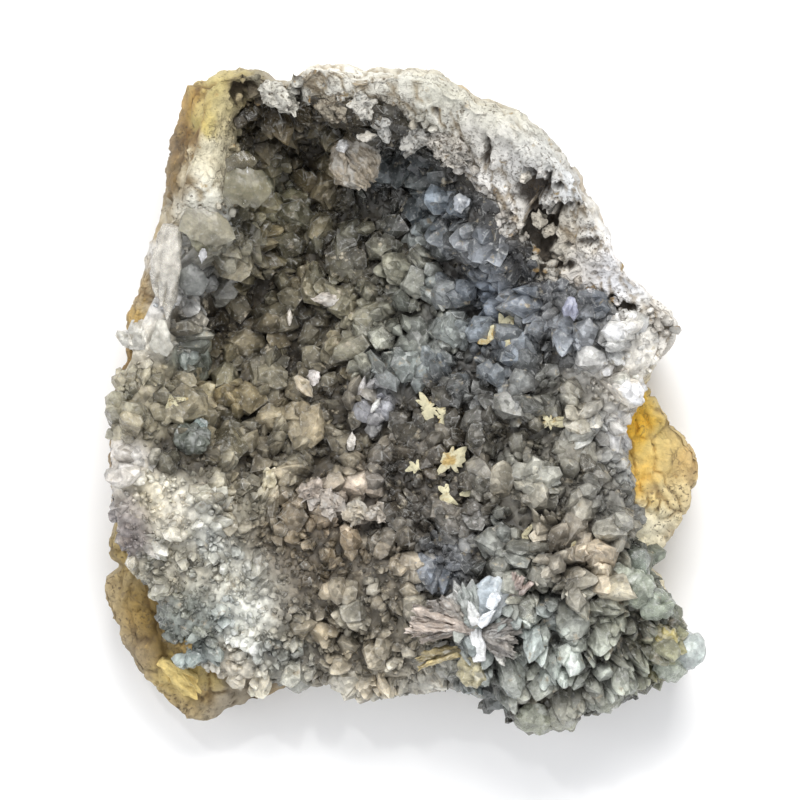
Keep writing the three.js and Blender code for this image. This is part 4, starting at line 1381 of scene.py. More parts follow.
@dataclass
class Crystals:
    """A batch of crystals, one entry each in every array."""

    foot: Array
    axis: Array
    length: Array
    width: Array
    thickness: Array
    spin: Array
    blunt: Array
    rise: Array

    def __len__(self) -> int:
        """The number of crystals."""
        return len(self.foot)

    def taken(self, rows: Array) -> Crystals:
        """The crystals of the given rows, in that order."""
        return Crystals(*(getattr(self, name)[rows] for name in self.__dataclass_fields__))

    @staticmethod
    def joined(batches: Sequence[Crystals]) -> Crystals:
        """Several batches as one."""
        names = Crystals.__dataclass_fields__
        return Crystals(*(np.concatenate([getattr(batch, name) for batch in batches]) for name in names))

    def tips(self) -> Array:
        """The points that the crystals would reach unbroken."""
        return self.foot + self.axis * self.length[:, None]

    def trimmed(self, most_past: float = 0.8, least_share: float = 0.35) -> Crystals:
        """Makes the crystals that reach out past the specimen's outline shorter.

        Args:
            most_past: How far past the rock's widest outline a tip may reach.
            least_share: The least share of its length that a crystal keeps.

        Returns:
            The same batch.
        """
        x, y, _ = self.tips().T
        past = np.hypot(x, y) - FORM.outline(np.arctan2(y, x)) - most_past
        outward = np.maximum(np.hypot(self.axis[:, 0], self.axis[:, 1]), 0.3)
        kept = np.clip(1 - np.maximum(past, 0) / (outward * self.length), least_share, 1)
        self.length = self.length * kept
        self.width = self.width * (0.4 + 0.6 * kept)
        self.thickness = self.thickness * (0.4 + 0.6 * kept)
        return self

    def directions(self) -> tuple[Array, Array]:
        """The directions of each crystal's width and thickness: level ones, turned by the spin.

        Returns:
            Unit vectors across the width, and across the thickness.
        """
        level = np.cross(UP, self.axis)
        small = np.linalg.norm(level, axis=-1, keepdims=True) < 1e-3
        level = unit(np.where(small, np.array([1.0, 0.0, 0.0]), level))
        level = unit(level - self.axis * np.sum(level * self.axis, axis=-1, keepdims=True))
        other = np.cross(self.axis, level)
        cos, sin = np.cos(self.spin)[:, None], np.sin(self.spin)[:, None]
        return cos * level + sin * other, cos * other - sin * level

    def families(self, members: int, rng: Random) -> Crystals:
        """Grows smaller crystals against each one, nearly parallel to it, as such crystals do.

        Args:
            members: Crystals in each family, with the first.
            rng: The random numbers.

        Returns:
            All the crystals.
        """
        rows = np.repeat(np.arange(len(self)), members - 1)
        wide, deep = self.directions()
        turn = rng.uniform(0, TURN, len(rows))
        off = rng.uniform(*MEMBER_PLACES, len(rows))
        shift = (
            wide[rows] * (off * np.cos(turn) * self.width[rows])[:, None]
            + deep[rows] * (off * np.sin(turn) * self.thickness[rows])[:, None]
        )
        near = self.taken(rows)
        near.foot = near.foot + shift
        outward = 0.35 * shift / self.width[rows][:, None]
        near.axis = unit(near.axis + outward + rng.normal(0, 0.06, near.axis.shape))
        near.length = near.length * rng.uniform(*MEMBER_LENGTHS, len(rows))
        near.width = near.width * rng.uniform(*MEMBER_WIDTHS, len(rows))
        near.thickness = near.thickness * rng.uniform(*MEMBER_THICKNESSES, len(rows))
        near.spin = near.spin + rng.normal(0, 0.2, len(rows))
        return Crystals.joined([self, near])

    def surface(self, sides: int, root: float, rng: Random, palette: Rows = CRYSTAL_TINTS) -> Surface:
        """Flat-sided crystals.

        Each is an uneven polygon carried along its axis: widest at the shoulder, and from there drawn in
        along straight lines towards a short ridge, until a slanting plane cuts it. Three rings of corners
        and a tip over the middle of the cut are its points.

        Args:
            sides: Sides of the polygon.
            root: Length below the foot, as a share of the length above it.
            rng: The random numbers.
            palette: The zones' colours.

        Returns:
            The crystals as one mesh.
        """
        count = len(self)
        corner = np.arange(sides)[None, :] + rng.uniform(*CORNER_SHIFTS, (count, sides))
        angle = corner * TURN / sides + TURN / (2 * sides)
        radius = 0.5 * rng.uniform(*CORNER_REACHES, (count, sides))
        x = self.width[:, None] * radius * np.cos(angle)
        y = self.thickness[:, None] * radius * np.sin(angle)
        shoulder = (self.length * rng.uniform(*SHOULDERS, count))[:, None]
        apex = self.length[:, None] - shoulder
        ridge = rng.uniform(*RIDGES, (count, 1))
        aside = 0.15 * self.width[:, None] * rng.uniform(-1, 1, (2, count, 1))
        slope = self.blunt[:, None] * rng.uniform(-0.9, 0.9, (2, count, 1))
        cut = 1 - self.blunt[:, None] * rng.uniform(*TOP_DROPS, (count, 1))
        along = np.clip(cut + (slope[0] * x + slope[1] * y) / apex, 0.2, 0.96)
        inward = along * (aside[0] - ridge * x), along * (aside[1] - y)
        rings = [
            np.stack([0.75 * x, 0.75 * y, -root * self.length[:, None] + 0 * x], axis=-1),
            np.stack([x, y, shoulder + 0 * x], axis=-1),
            np.stack([x + inward[0], y + inward[1], shoulder + along * apex], axis=-1),
        ]
        tip = rings[2].mean(axis=1, keepdims=True)
        left = (1 - along.mean(axis=1)) * apex[:, 0]
        tip[..., 2] += (0.7 * left * rng.uniform(0, 1, count))[:, None]
        local = np.concatenate([*rings, tip], axis=1)
        wide, deep = self.directions()
        points = self.foot[:, None] + sum(
            local[..., k : k + 1] * direction[:, None] for k, direction in enumerate((wide, deep, self.axis))
        )
        return self.dressed(points, sides, rng, palette)

    def dressed(self, points: Array, sides: int, rng: Random, palette: Rows) -> Surface:
        """The crystals' faces, colours and facet map.

        Args:
            points: Corners of each crystal: three rings and the tip.
            sides: Sides of the polygon.
            rng: The random numbers.
            palette: The zones' colours.

        Returns:
            The mesh, with painted shade where a crystal is deep among its neighbours, and painted light and
            shade up each crystal.
        """
        count, corners = points.shape[:2]
        start = (np.arange(count) * corners)[:, None, None]
        here = np.arange(sides)
        there = np.roll(here, -1)
        ring = np.stack([here, there, there + sides, here + sides], axis=-1)
        quads = [ring, ring + sides]
        caps = np.stack([here + 2 * sides, there + 2 * sides, np.full(sides, 3 * sides)], axis=-1)
        caps = (start + caps[None]).reshape(-1, 3)
        quads = (start + np.concatenate(quads)[None]).reshape(-1, 4)
        roots = (start + here[None, ::-1]).reshape(-1, sides)
        facet = np.concatenate(
            [
                np.tile([(0.0, 0.0), (1.0, 0.0), (0.5, 0.6)], (len(caps), 1)),
                np.tile([(0.0, 0.0), (1.0, 0.0), (1.0, 1.0), (0.0, 1.0)], (len(quads), 1)),
                np.zeros((roots.size, 2)),
            ]
        )
        tint, satin, gap_shade = looks_at(palette, self.foot)
        warm = 0.12 * layered(self.foot, 5.0, 2, 126)[:, None] * np.array([1.0, 0.2, -0.9])
        # Broad patches of tone: partly random, and partly painted shade on the sunken clumps, strongest
        # where the zone's painted shade is deep.
        patches = 0.6 * layered(self.foot, 3.5, 3, 120) + 0.7 * clumps(self.foot)
        patches = patches + rng.normal(0, 0.14, count)
        tint = tint * (1 + warm) * np.exp(patches * (0.3 + 0.7 * gap_shade))[:, None]
        size, _, _ = growth_at(self.foot[:, 0], self.foot[:, 1])
        # Painted shade: points low among the neighbours go towards the shade colour of the gaps.
        above = np.sum((points - self.foot[:, None]) * self.axis[:, None], axis=-1) + self.rise[:, None]
        shown = 1 - gap_shade[:, None] * (1 - smooth(*GAP_SHADE_SHARES, above / (GAP_SHADE_HEIGHT * size[:, None])))
        dark = light(GAP_SHADE_COLOUR) * np.ones_like(tint)
        # Painted light and shade up each crystal, from its root to its tip.
        ring_light_and_shade = np.repeat(RING_LIGHT_AND_SHADE, [sides, sides, sides, 1])[:, None]
        colour = np.clip(blend(dark[:, None], tint[:, None] * ring_light_and_shade, shown[..., None]), 0, 1)
        satin = np.clip(satin + rng.normal(0, 0.15, count), 0, 1)
        values = {"tint": colour.reshape(-1, 3)}
        for name in ("satin", "worn"):
            values[name] = np.repeat(satin, corners)
        return Surface(points.reshape(-1, 3), [caps, quads, roots], values, facet)


def clumps(place: Array) -> Array:
    """How proud or sunken the crystals are in broad clumps, between about -0.6 and 0.6."""
    return layered(place, 8.5, 2, 122)


def growth_at(x: Array, y: Array) -> tuple[Array, Array, Array]:
    """How the crystals grow at places seen from above.

    Args:
        x: Places across.
        y: Places up.

    Returns:
        Size, slimness and lean, which is a level vector.
    """
    mean = zone_mean(GROWTH, x, y)
    lean = np.concatenate([mean[..., 2:4], np.zeros_like(mean[..., :1])], axis=-1)
    return mean[..., 0], mean[..., 1], lean


def inside_box(points: Array, margin: float = 0.2) -> Array:
    """Whether points lie inside the box of the solids."""
    low, high = np.array(cad_low) / MM + margin, np.array(cad_high) / MM - margin
    return np.all((points > low) & (points < high), axis=-1)


class Lustre(Enum):
    """How a crystal's faces shine."""

    GLASSY = "glassy"
    MATT = "matt"


GLASSY_FINISH = CrystalFinish("glassy celestite", transmission=0.3, roughness=(0.06, 0.3))
MATT_FINISH = CrystalFinish(
    "matt celestite", 0.0, relief=0.0004, roughness=(0.25, 0.65), facet_tilt=5.0, edge_strength=0.2
)

# The finish of each lustre, and the angle in degrees from which its edges are sharp.
LUSTRES = {Lustre.GLASSY: (GLASSY_FINISH, 26.0), Lustre.MATT: (MATT_FINISH, 36.0)}


class Habit(Enum):
    """The kinds of crystal in the zones' table, each with its column."""

    BLOCKS = 0
    MIDDLING = 1
    FINE = 2


@dataclass(frozen=True)
class Tier:
    """One size class of the druse's crystals.

    Spacing, length, width and rise are in millimetres. Members is how many crystals grow against one
    another, sides is the number of their sides, tilt is how far they lean apart, and blunt is how much of
    their tops is broken off.
    """

    name: str
    habit: Habit
    spacing: float
    length: float
    width: float
    members: int
    sides: int
    tilt: float
    blunt: float
    rise: float


@dataclass(frozen=True)
class Druse:
    """The crystals of the crust, in size classes from the large ones of the solid down to sugar.

    The large ones have the solid's own numbers: the span they are spread over, the irrational steps of their
    places, and those of their properties. Of its length, a crystal goes on below its foot by the share that
    the root gives, and loses up to the edge loss at the crust's edge. It is matt from a satin of matt_from.
    """

    span: Pair = (124.0, 138.0)
    spread: Pair = (0.7548776662466927, 0.5698402909980532)
    tilt_step: float = 0.7320508076
    way_step: float = 0.2360679775
    width_step: float = 0.6180339887
    length_step: float = 0.4142135624
    thickness_step: float = 0.3027756377
    spin_step: float = 0.1415926536
    large_spacing: float = 13.5
    large_length: float = 7.6
    large_width: float = 8.4
    large_rise: float = 1.3
    large_share: float = 0.85
    large_members: int = 4
    large_sides: int = 7
    crust_area: float = 16000.0
    tries_each: int = 14
    edge_loss: float = 0.68
    lean_share: float = 0.6
    sunk_share: float = 0.35
    root: float = 0.5
    matt_from: float = 0.45
    tiers: tuple[Tier, ...] = (
        Tier("block_crystals", Habit.BLOCKS, 5.6, 6.2, 6.9, 4, 6, 0.45, 0.75, 1.0),
        Tier("middle_crystals", Habit.MIDDLING, 3.7, 4.1, 4.0, 3, 6, 0.5, 0.65, 1.1),
        Tier("small_crystals", Habit.FINE, 2.2, 2.6, 2.2, 2, 5, 0.5, 0.6, 1.3),
        Tier("sugar_crystals", Habit.FINE, 1.4, 1.5, 1.3, 1, 4, 0.6, 0.7, 1.4),
    )

    def places(self, spacing: float, rng: Random) -> tuple[Array, Array]:
        """Places spread over the crust: of many random ones, one is kept in each cell of a cubic lattice.

        Args:
            spacing: The lattice's spacing.
            rng: The random numbers.

        Returns:
            Bearings, and places along the sections.
        """
        tries = int(self.tries_each * self.crust_area / spacing**2)
        bearing = rng.uniform(0, TURN, tries)
        ragged = 1 + 0.05 * layered(20 * level_way(bearing), 2.5, 3, 130)
        along = np.sqrt(rng.uniform(0, 1, tries)) * FORM.crust_reach(bearing) * ragged
        cells = np.floor(FORM.section(bearing, along) / spacing).astype(np.int64)
        _, kept = np.unique(cells, axis=0, return_index=True)
        kept = np.sort(kept)
        return bearing[kept], along[kept]

    def grown(self, tier: Tier, rng: Random) -> Crystals:
        """One size class: numbers, sizes and leans by zone, and short at the crust's edge.

        Args:
            tier: The size class.
            rng: The random numbers.

        Returns:
            The crystals.
        """
        bearing, along = self.places(tier.spacing, rng)
        ground = FORM.section(bearing, along)
        habit = zone_mean(HABITS, ground[:, 0], ground[:, 1])
        kept = rng.uniform(0, 1, len(along)) < habit[:, tier.habit.value]
        bearing, along, ground, sunk = bearing[kept], along[kept], ground[kept], habit[kept, 3]
        normal = FORM.growing(bearing, along)
        size, slim, lean = growth_at(ground[:, 0], ground[:, 1])
        share = along / FORM.crust_reach(bearing)
        at_edge = 1 - self.edge_loss * smooth(0.88, 1.0, share)
        count = len(along)
        thick = blend(1.0, CRUST_EDGE_THICKNESS / CRUST_THICKNESS, smooth(0.92, 1.0, share))
        rise = tier.rise * thick - self.sunk_share * sunk * tier.length
        width = tier.width * size * slim**0.8 * rng.uniform(0.7, 1.2, count)
        length = tier.length * size * slim**-0.4 * at_edge * rng.uniform(0.7, 1.3, count)
        crystals = Crystals(
            foot=ground + normal * rise[:, None],
            axis=unit(normal + self.lean_share * lean + tier.tilt * rng.normal(0, 0.6, (count, 3))),
            length=length * (1 + 0.5 * clumps(ground)),
            width=width,
            thickness=width * rng.uniform(0.6, 1.0, count),
            spin=rng.uniform(0, TURN, count),
            blunt=tier.blunt * rng.uniform(0.35, 1.0, count),
            rise=rise,
        ).families(tier.members, rng)
        return crystals.taken(np.flatnonzero(inside_box(crystals.tips()))).trimmed()

    def large(self, rng: Random) -> Crystals:
        """The large crystals, where the solid has them.

        The place of each is that of its number times two irrational steps, without the whole part, and its
        properties follow irrational steps of their own. Smaller crystals are grown against it.

        Args:
            rng: The random numbers.

        Returns:
            The crystals.
        """
        step = np.arange(1, round(self.span[0] * self.span[1] / self.large_spacing**2) + 1)
        x, y = ((fraction(0.5 + s * step) - 0.5) * wide for s, wide in zip(self.spread, self.span))
        bearing, along = FORM.below(x, y)
        kept = (along <= 0.96 * FORM.crust_reach(bearing)) & (along >= 0.02)
        step, bearing, along = step[kept], bearing[kept], along[kept]
        size, slim, lean = growth_at(x[kept], y[kept])
        tilt = 0.35 + 0.35 * fraction(self.tilt_step * step)
        way = TURN * fraction(self.way_step * step)
        lean = lean + tilt[:, None] * level_way(way)
        normal = FORM.outward(bearing, along)
        width = self.large_width * size * slim * (0.75 + 0.5 * fraction(self.width_step * step))
        width = self.large_share * width
        return Crystals(
            foot=FORM.section(bearing, along) + self.large_rise * normal,
            axis=unit(normal + lean),
            length=self.large_length * size * (0.8 + 0.45 * fraction(self.length_step * step)),
            width=width,
            thickness=width * (0.55 + 0.35 * fraction(self.thickness_step * step)),
            spin=TURN * fraction(self.spin_step * step),
            blunt=np.full(len(width), 0.8),
            rise=np.full(len(width), self.large_rise),
        ).families(self.large_members, rng).trimmed()

    def build(self) -> None:
        """Makes two pieces of each size class: its glassy crystals and its matt ones."""
        rng = np.random.default_rng(SEED)
        batches = [("large_crystals", self.large(rng), self.large_sides)]
        batches += [(tier.name, self.grown(tier, rng), tier.sides) for tier in self.tiers]
        sorts = [(lustre, finish.material(), crease) for lustre, (finish, crease) in LUSTRES.items()]
        for name, crystals, sides in batches:
            satin = looks_at(CRYSTAL_TINTS, crystals.foot)[1] + rng.normal(0, 0.12, len(crystals))
            for lustre, material, crease in sorts:
                rows = np.flatnonzero((satin > self.matt_from) == (lustre is Lustre.MATT))
                surface = crystals.taken(rows).surface(sides, self.root, rng)
                made = surface.piece(f"{name}_{lustre.value}", material, crease)


@dataclass(frozen=True)
class RockCrumbs:
    """Crumbs of rock along the ragged border between the pale slope and the crust.

    Bearings are in degrees, shares are of the way to the crust's edge, and sizes are in millimetres.
    """

    count: int = 420
    bearings: Pair = (14.0, 138.0)
    shares: Pair = (0.94, 1.1)
    sizes: Pair = (0.5, 2.1)
    sides: int = 7
    finish: StoneFinish = StoneFinish("limestone crumbs", stain=(150, 124, 84), stain_cover=0.3)

    def build(self) -> None:
        """Makes the piece: blunt lumps, of which small ones are the most common."""
        rng = np.random.default_rng(SEED + 1)
        bearing = np.radians(rng.uniform(*self.bearings, self.count))
        share = rng.uniform(*self.shares, self.count)
        along = share * FORM.crust_reach(bearing)
        ground = FORM.section(bearing, along)
        normal = FORM.outward(bearing, along)
        low, high = self.sizes
        size = low + (high - low) * rng.uniform(0, 1, self.count) ** 2.5
        crumbs = Crystals(
            foot=ground + normal * 0.1,
            axis=unit(normal + rng.normal(0, 0.4, normal.shape)),
            length=0.8 * size,
            width=1.3 * size,
            thickness=size,
            spin=rng.uniform(0, TURN, self.count),
            blunt=rng.uniform(0.3, 0.8, self.count),
            rise=np.full(self.count, 3.0),
        )
        crumbs = crumbs.taken(np.flatnonzero(inside_box(crumbs.foot, 1.0)))
        # Their colours carry painted shade low on them and painted light and shade from root to top.
        surface = crumbs.surface(self.sides, 0.7, rng, ROCK_TINTS)
        made = surface.piece("rock_crumbs", self.finish.material(), crease=32)


# Outlines of the blades: share of the length, share of the width.
LEAF = ((0, 0.35), (0.3, 0.8), (0.6, 1), (0.85, 0.7), (1, 0.1))
FAN = ((0, 0.2), (0.3, 0.6), (0.7, 0.95), (1, 1))
PLATE = ((0, 0.6), (0.3, 0.9), (0.7, 1), (0.92, 0.95), (1, 0.7))
STEM = ((0, 0.7), (0.4, 1), (0.75, 0.75), (1, 0.3))
SHELL = ((0, 0.25), (0.25, 0.7), (0.55, 1), (0.85, 0.96), (1, 0.6))
WEDGE = ((0, 0.35), (0.5, 0.75), (0.85, 1), (0.97, 0.92), (1, 0.6))
PAGE = ((0, 0.5), (0.5, 0.9), (0.85, 1), (1, 0.5))


# How much a blade's width swells and how far it bows, as shares of its width and length, and how high its
# ribs stand, as a share of their own width.
BLADE_SWELL = 0.07
BLADE_BOW = 0.04
RIB_HEIGHT = 0.32


@dataclass(frozen=True)
class Blade:
    """A bladed crystal: a slab with ribs along it, whose end breaks off at another length at each rib.

    Azimuth, tilt from upright and roll about its own axis are in degrees, sizes in millimetres, and the
    colour in screen values. The foot is a place seen from above, and the rise is its height over the rock.
    Ragged is the share of the length that the ribs' ends differ by, and the grain is how far the surface
    strays.
    """

    foot: Pair
    rise: float
    azimuth: float
    tilt: float
    length: float
    width: float
    thickness: float
    colour: Colour
    satin: float = 0.4
    ribs: int = 3
    ragged: float = 0.2
    grain: float = 0.15
    outline: tuple[Pair, ...] = FAN
    flatness: float = 0.5
    roll: float = 0.0
    rows: int = 30
    around_rib: int = 14

    def surface(self, rng: Random) -> Surface:
        """The blade's closed surface.

        With t from 0 at the foot to 1 at the tip, and an angle a round it, a point is the foot, plus t times
        its rib's length along the axis, plus the cosine of a times half the width at t across, plus a power
        of the sine of a times half the thickness through. Each rib stands out in the middle and ends in a
        point, and the whole strays by noise.

        Args:
            rng: The random numbers.

        Returns:
            The surface, with a facet map that runs along it.
        """
        azimuth, tilt, roll = (math.radians(turn) for turn in (self.azimuth, self.tilt, self.roll))
        axis = math.sin(tilt) * level_way(azimuth) + math.cos(tilt) * UP
        level = unit(np.cross(UP, axis))
        across = math.cos(roll) * level + math.sin(roll) * np.cross(axis, level)
        through = np.cross(axis, across)
        t = np.linspace(0, 1, self.rows)[::-1, None]
        around = max(28, self.around_rib * self.ribs)
        angle = np.linspace(0, TURN, around, endpoint=False)[None, :]
        side, height = np.cos(angle) + 0 * t, np.sin(angle) + 0 * t
        height = np.sign(height) * np.abs(height) ** self.flatness
        rib = np.clip((0.5 + 0.5 * side) * self.ribs, 0, self.ribs - 1e-6)
        crest = 1 - np.abs(2 * fraction(rib) - 1)
        ends = rng.uniform(1 - self.ragged, 1, self.ribs)[rib.astype(int)]
        ends = ends * (1 - 0.5 * self.ragged * (1 - crest)) * (1 - 0.12 * side**2)
        shares = np.array(self.outline, float)
        wide = 0.5 * self.width * np.interp(t, shares[:, 0], shares[:, 1])
        wide = wide * (1 + BLADE_SWELL * zigzag(TURN * (3 * t + rng.uniform())))
        deep = 0.5 * self.thickness * blend(0.35, 1.0, smooth(0.0, 0.35, 1 - t))
        ridge = RIB_HEIGHT * self.flatness * self.width / self.ribs * crest
        ridge = ridge * np.sign(height) * smooth(0.0, 0.25, t)
        bend = BLADE_BOW * self.length * np.sin(math.pi * t)
        points = (
            FORM.seat(*self.foot) + UP * self.rise
            + (t * self.length * ends)[..., None] * axis
            + (wide * side)[..., None] * across
            + (deep * height + ridge + bend)[..., None] * through
        )
        points = points + 2.4 * self.grain * strays(points, 1.1, 3, 140)
        points[0], points[-1] = points[0].mean(axis=0), points[-1].mean(axis=0)
        # Random tone, with painted light on the ribs' crests and painted shade between them.
        shade = 1 + 0.35 * layered(points, 1.2, 3, 145) + 0.2 * (crest - 0.6)
        dull = np.full(side.shape, self.satin)
        tint = np.clip(light(self.colour) * shade[..., None], 0, 1)
        values = {"tint": tint, "satin": dull, "worn": dull}
        return closed_rows(points, values, np.stack([rib, t + 0 * side], axis=-1))


@dataclass(frozen=True)
class Sheaf:
    """Thin pages of crystal fanned out from one root and seen edge on, as in a ribbed mass.

    Turns are in degrees and sizes in millimetres. The spreads are how much the pages differ.
    """

    foot: Pair
    rise: float
    azimuths: Pair
    tilt: float
    lengths: Pair
    depth: float
    thickness: float
    colour: Colour
    count: int
    satin: float = 0.9
    foot_spread: float = 0.5
    rise_spread: float = 0.35
    azimuth_spread: float = 2.0
    tilt_spread: float = 5.0
    roll_spread: float = 16.0

    def surfaces(self, rng: Random) -> list[Surface]:
        """The pages, each with its own direction, length, roll and shade.

        Args:
            rng: The random numbers.

        Returns:
            One surface for each page.
        """
        pages = []
        for azimuth in np.linspace(*self.azimuths, self.count):
            shade = rng.uniform(0.72, 1.15)
            page = Blade(
                foot=tuple(place + rng.normal(0, self.foot_spread) for place in self.foot),
                rise=self.rise + rng.normal(0, self.rise_spread),
                azimuth=azimuth + rng.normal(0, self.azimuth_spread),
                tilt=self.tilt + rng.normal(0, self.tilt_spread),
                length=rng.uniform(*self.lengths),
                width=self.depth * rng.uniform(0.7, 1.1),
                thickness=self.thickness * rng.uniform(0.7, 1.3),
                colour=tuple(shade * part for part in self.colour),
                satin=self.satin,
                ribs=1,
                ragged=0.1,
                grain=0.26,
                outline=PAGE,
                roll=rng.normal(90, self.roll_spread),
                rows=18,
                around_rib=16,
            )
            pages.append(page.surface(rng))
        return pages


# The radiating group in the lower part, whose blades spread from one root.
ROSETTE = [
    Blade((15.2, -44.6), 5.2, 68, 79, 14.4, 7.2, 1.4, (184, 193, 199), 0.2, 3, 0.2, 0.05, WEDGE, 0.15),
    Blade((16.4, -44), 5.6, 56, 80, 13.2, 4.6, 1.3, (166, 172, 174), 0.3, 3, 0.35, 0.06, WEDGE, 0.2),
    # A near-white plate laid on the large blade: a painted highlight.
    Blade((17.2, -40.8), 8, 60, 82, 4.4, 2.4, 0.8, (238, 244, 250), 0.1, 1, 0.1, 0.03, PLATE, 0.3),
    Blade((14.6, -44), 5.6, 104, 79, 12.4, 4.6, 1.4, (158, 162, 158), 0.3, 4, 0.4, 0.1, WEDGE, 0.25),
    Blade((13.8, -43.6), 5.2, 121, 79, 11.6, 4.4, 1.4, (170, 170, 166), 0.4, 4, 0.45, 0.15, WEDGE, 0.3),
    Blade((13.4, -44), 5.4, 138, 78, 10, 3.6, 1.6, (146, 140, 132), 0.6, 2, 0.3, 0.3),
    Blade((15.5, -51.6), 8, 97, 88, 10.8, 3.4, 2, (246, 247, 246), 0.3, 3, 0.15, 0.07, STEM),
    Blade((14.8, -44), 8.4, 106, 84, 5.8, 2.6, 1.4, (236, 237, 235), 0.3, 2, 0.2, 0.07, STEM),
    Blade((15.2, -44.2), 8.4, 46, 84, 5.6, 2.4, 1.3, (238, 242, 246), 0.3, 2, 0.2, 0.07, STEM),
    Blade((14, -50), 5, 268, 82, 7.6, 5.4, 3.6, (176, 168, 138), 0.6, 2, 0.15, 0.4, PLATE),
    Blade((15.2, -55.6), 5.6, 196, 88, 3.4, 1.4, 1, (226, 224, 212), 0.3, 1, 0.2, 0.2, LEAF),
    Blade((18.8, -49.4), 5.6, 302, 80, 4.2, 1.8, 1.2, (206, 204, 196), 0.3, 1, 0.2, 0.2, LEAF),
]

# The rosette's ribbed masses.
ROSETTE_SHEAVES = [
    Sheaf((13.6, -45), 6, (154, 190), 82, (9, 15), 2.6, 0.5, (178, 165, 154), 36),
    Sheaf((11.4, -42.4), 6, (140, 176), 76, (5, 8), 2.4, 0.6, (162, 154, 146), 14),
    Sheaf((13, -48.6), 4.8, (182, 201), 84, (9, 12.4), 2, 0.6, (176, 160, 118), 9),
    Sheaf((15.8, -46), 5.8, (-42, 34), 78, (5.4, 8.8), 2.6, 0.5, (160, 154, 147), 36),
    Sheaf((20.8, -39), 5.4, (38, 78), 74, (5, 7.6), 2, 0.6, (166, 150, 142), 10),
]

# Single blades and lumps that stand out: the ribbed shell under the lip with the small blade on it, the pale
# blades of the hollow, the lumps of the middle, and the massive ones of the left wall and the lower right.
SINGLE_BLADES = [
    Blade((-12.2, 52.6), 8.6, 286, 84, 3.6, 2.8, 1.6, (206, 205, 204), 0.4, 1, 0.3, 0.2, LEAF),
    Blade((-12.8, 52.4), 6.6, 308, 82, 12, 10.4, 2.6, (142, 132, 116), 0.9, 13, 0.12, 0.3, SHELL, 0.5),
    Blade((-9, 53), 10, 4, 86, 5.4, 2.2, 1.3, (196, 191, 180), 0.4, 1, 0.3, 0.25, LEAF),
    Blade((-12.6, 20.9), 6.5, 174, 80, 6.6, 3.4, 1.4, (190, 182, 172), 0.8, 2, 0.3, 0.2, LEAF),
    Blade((-21.4, 5.6), 7.6, 309, 84, 7, 2.9, 1.2, (176, 164, 142), 0.8, 2, 0.2, 0.15, LEAF),
    Blade((-22.6, 15.8), 5.5, 90, 60, 4.2, 1.1, 0.9, (220, 212, 200), 0.5, 1, 0.1, 0.1, LEAF),
    Blade((-6.2, -1.8), 6, 60, 78, 3.8, 1.3, 0.9, (222, 222, 218), 0.4, 1, 0.1, 0.1, LEAF),
    Blade((-10.4, -9.4), 6, 84, 78, 4.4, 1.8, 1, (220, 214, 204), 0.5, 1, 0.2, 0.15, LEAF),
    Blade((-27, -17.5), 5, 80, 66, 6.6, 3, 2, (208, 198, 170), 0.6, 2, 0.3, 0.25, PLATE),
    Blade((-24.2, -17), 4.6, 68, 64, 5.4, 2.6, 1.8, (194, 186, 160), 0.6, 2, 0.3, 0.25, PLATE),
    Blade((11, 41.6), 4.4, 300, 70, 5.4, 3.8, 1.8, (158, 162, 168), 0.1, 3, 0.4, 0.1, WEDGE, 0.2),
    Blade((33.8, 21), 4.4, 262, 64, 5.4, 3.4, 2, (148, 150, 166), 0.1, 3, 0.4, 0.1, WEDGE, 0.2),
    Blade((-17.5, 7.4), 6.2, 262, 76, 4.6, 2.4, 1.4, (186, 180, 176), 0.4, 1, 0.3, 0.12, PLATE, 0.25),
    Blade((-16.5, -15.5), 5, 235, 64, 7, 4.4, 3, (178, 166, 154), 0.9, 4, 0.3, 0.6),
    Blade((-15.5, -17.5), 5, 300, 62, 6.4, 4.6, 3.2, (188, 178, 166), 0.9, 4, 0.3, 0.6),
    Blade((-12, -21.5), 4.6, 350, 66, 6, 4.4, 3, (190, 180, 162), 0.9, 4, 0.3, 0.6),
    Blade((-7, -22.5), 4.6, 20, 66, 5.6, 4, 2.8, (180, 170, 156), 0.9, 3, 0.3, 0.6),
    Blade((-42.4, -8), 1, 74, 38, 6.4, 7, 5.4, (108, 112, 104), 0.2, 3, 0.3, 0.2, PLATE, 0.25),
    Blade((-41.6, -5.6), 4.4, 44, 70, 3.6, 3.4, 2, (142, 154, 152), 0.3, 1, 0.2, 0.25, PLATE),
    Blade((-42.8, 11.6), 1.6, 270, 80, 5.4, 4.4, 3, (132, 138, 132), 0.2, 2, 0.3, 0.2, PLATE, 0.25),
    Blade((45.5, -39.5), 2.6, 60, 66, 8.4, 6.6, 5, (160, 166, 151), 0.3, 2, 0.25, 0.16, PLATE, 0.3),
    Blade((48, -41), 2.4, 20, 72, 7.6, 6.4, 5, (150, 157, 142), 0.3, 2, 0.25, 0.16, PLATE, 0.3),
    Blade((44, -36), 2.4, 90, 60, 6, 5, 4.4, (166, 170, 156), 0.3, 2, 0.25, 0.16, PLATE, 0.3),
    Blade((53.4, -48), 2, 340, 84, 8.6, 7.6, 6, (190, 198, 194), 0.15, 1, 0.1, 0.14, PLATE),
    Blade((51, -51.6), 2, 340, 84, 8.6, 6.4, 6, (180, 186, 172), 0.4, 1, 0.2, 0.16, PLATE),
    Blade((50.6, -45.6), 3.4, 320, 80, 6.8, 6, 5, (176, 164, 110), 0.6, 2, 0.3, 0.3, PLATE),
    Blade((27, -60.5), 3, 262, 82, 8, 7.6, 7, (156, 158, 142), 0.5, 2, 0.25, 0.2, PLATE),
    Blade((31, -60), 3, 290, 78, 7.6, 6, 6, (160, 160, 146), 0.5, 2, 0.25, 0.2, PLATE),
    Blade((40, -57), 2, 300, 78, 6, 6, 5, (154, 156, 142), 0.5, 2, 0.25, 0.2, PLATE),
]

# The ribbed shell under the lip.
SINGLE_SHEAVES = [
    Sheaf((-12.4, 51.8), 6.8, (278, 338), 84, (7.6, 9.6), 1.6, 0.45, (150, 140, 124), 26),
    Sheaf((-11, 50.2), 7.4, (284, 332), 86, (3.4, 7), 1.4, 0.4, (160, 150, 135), 18),
]
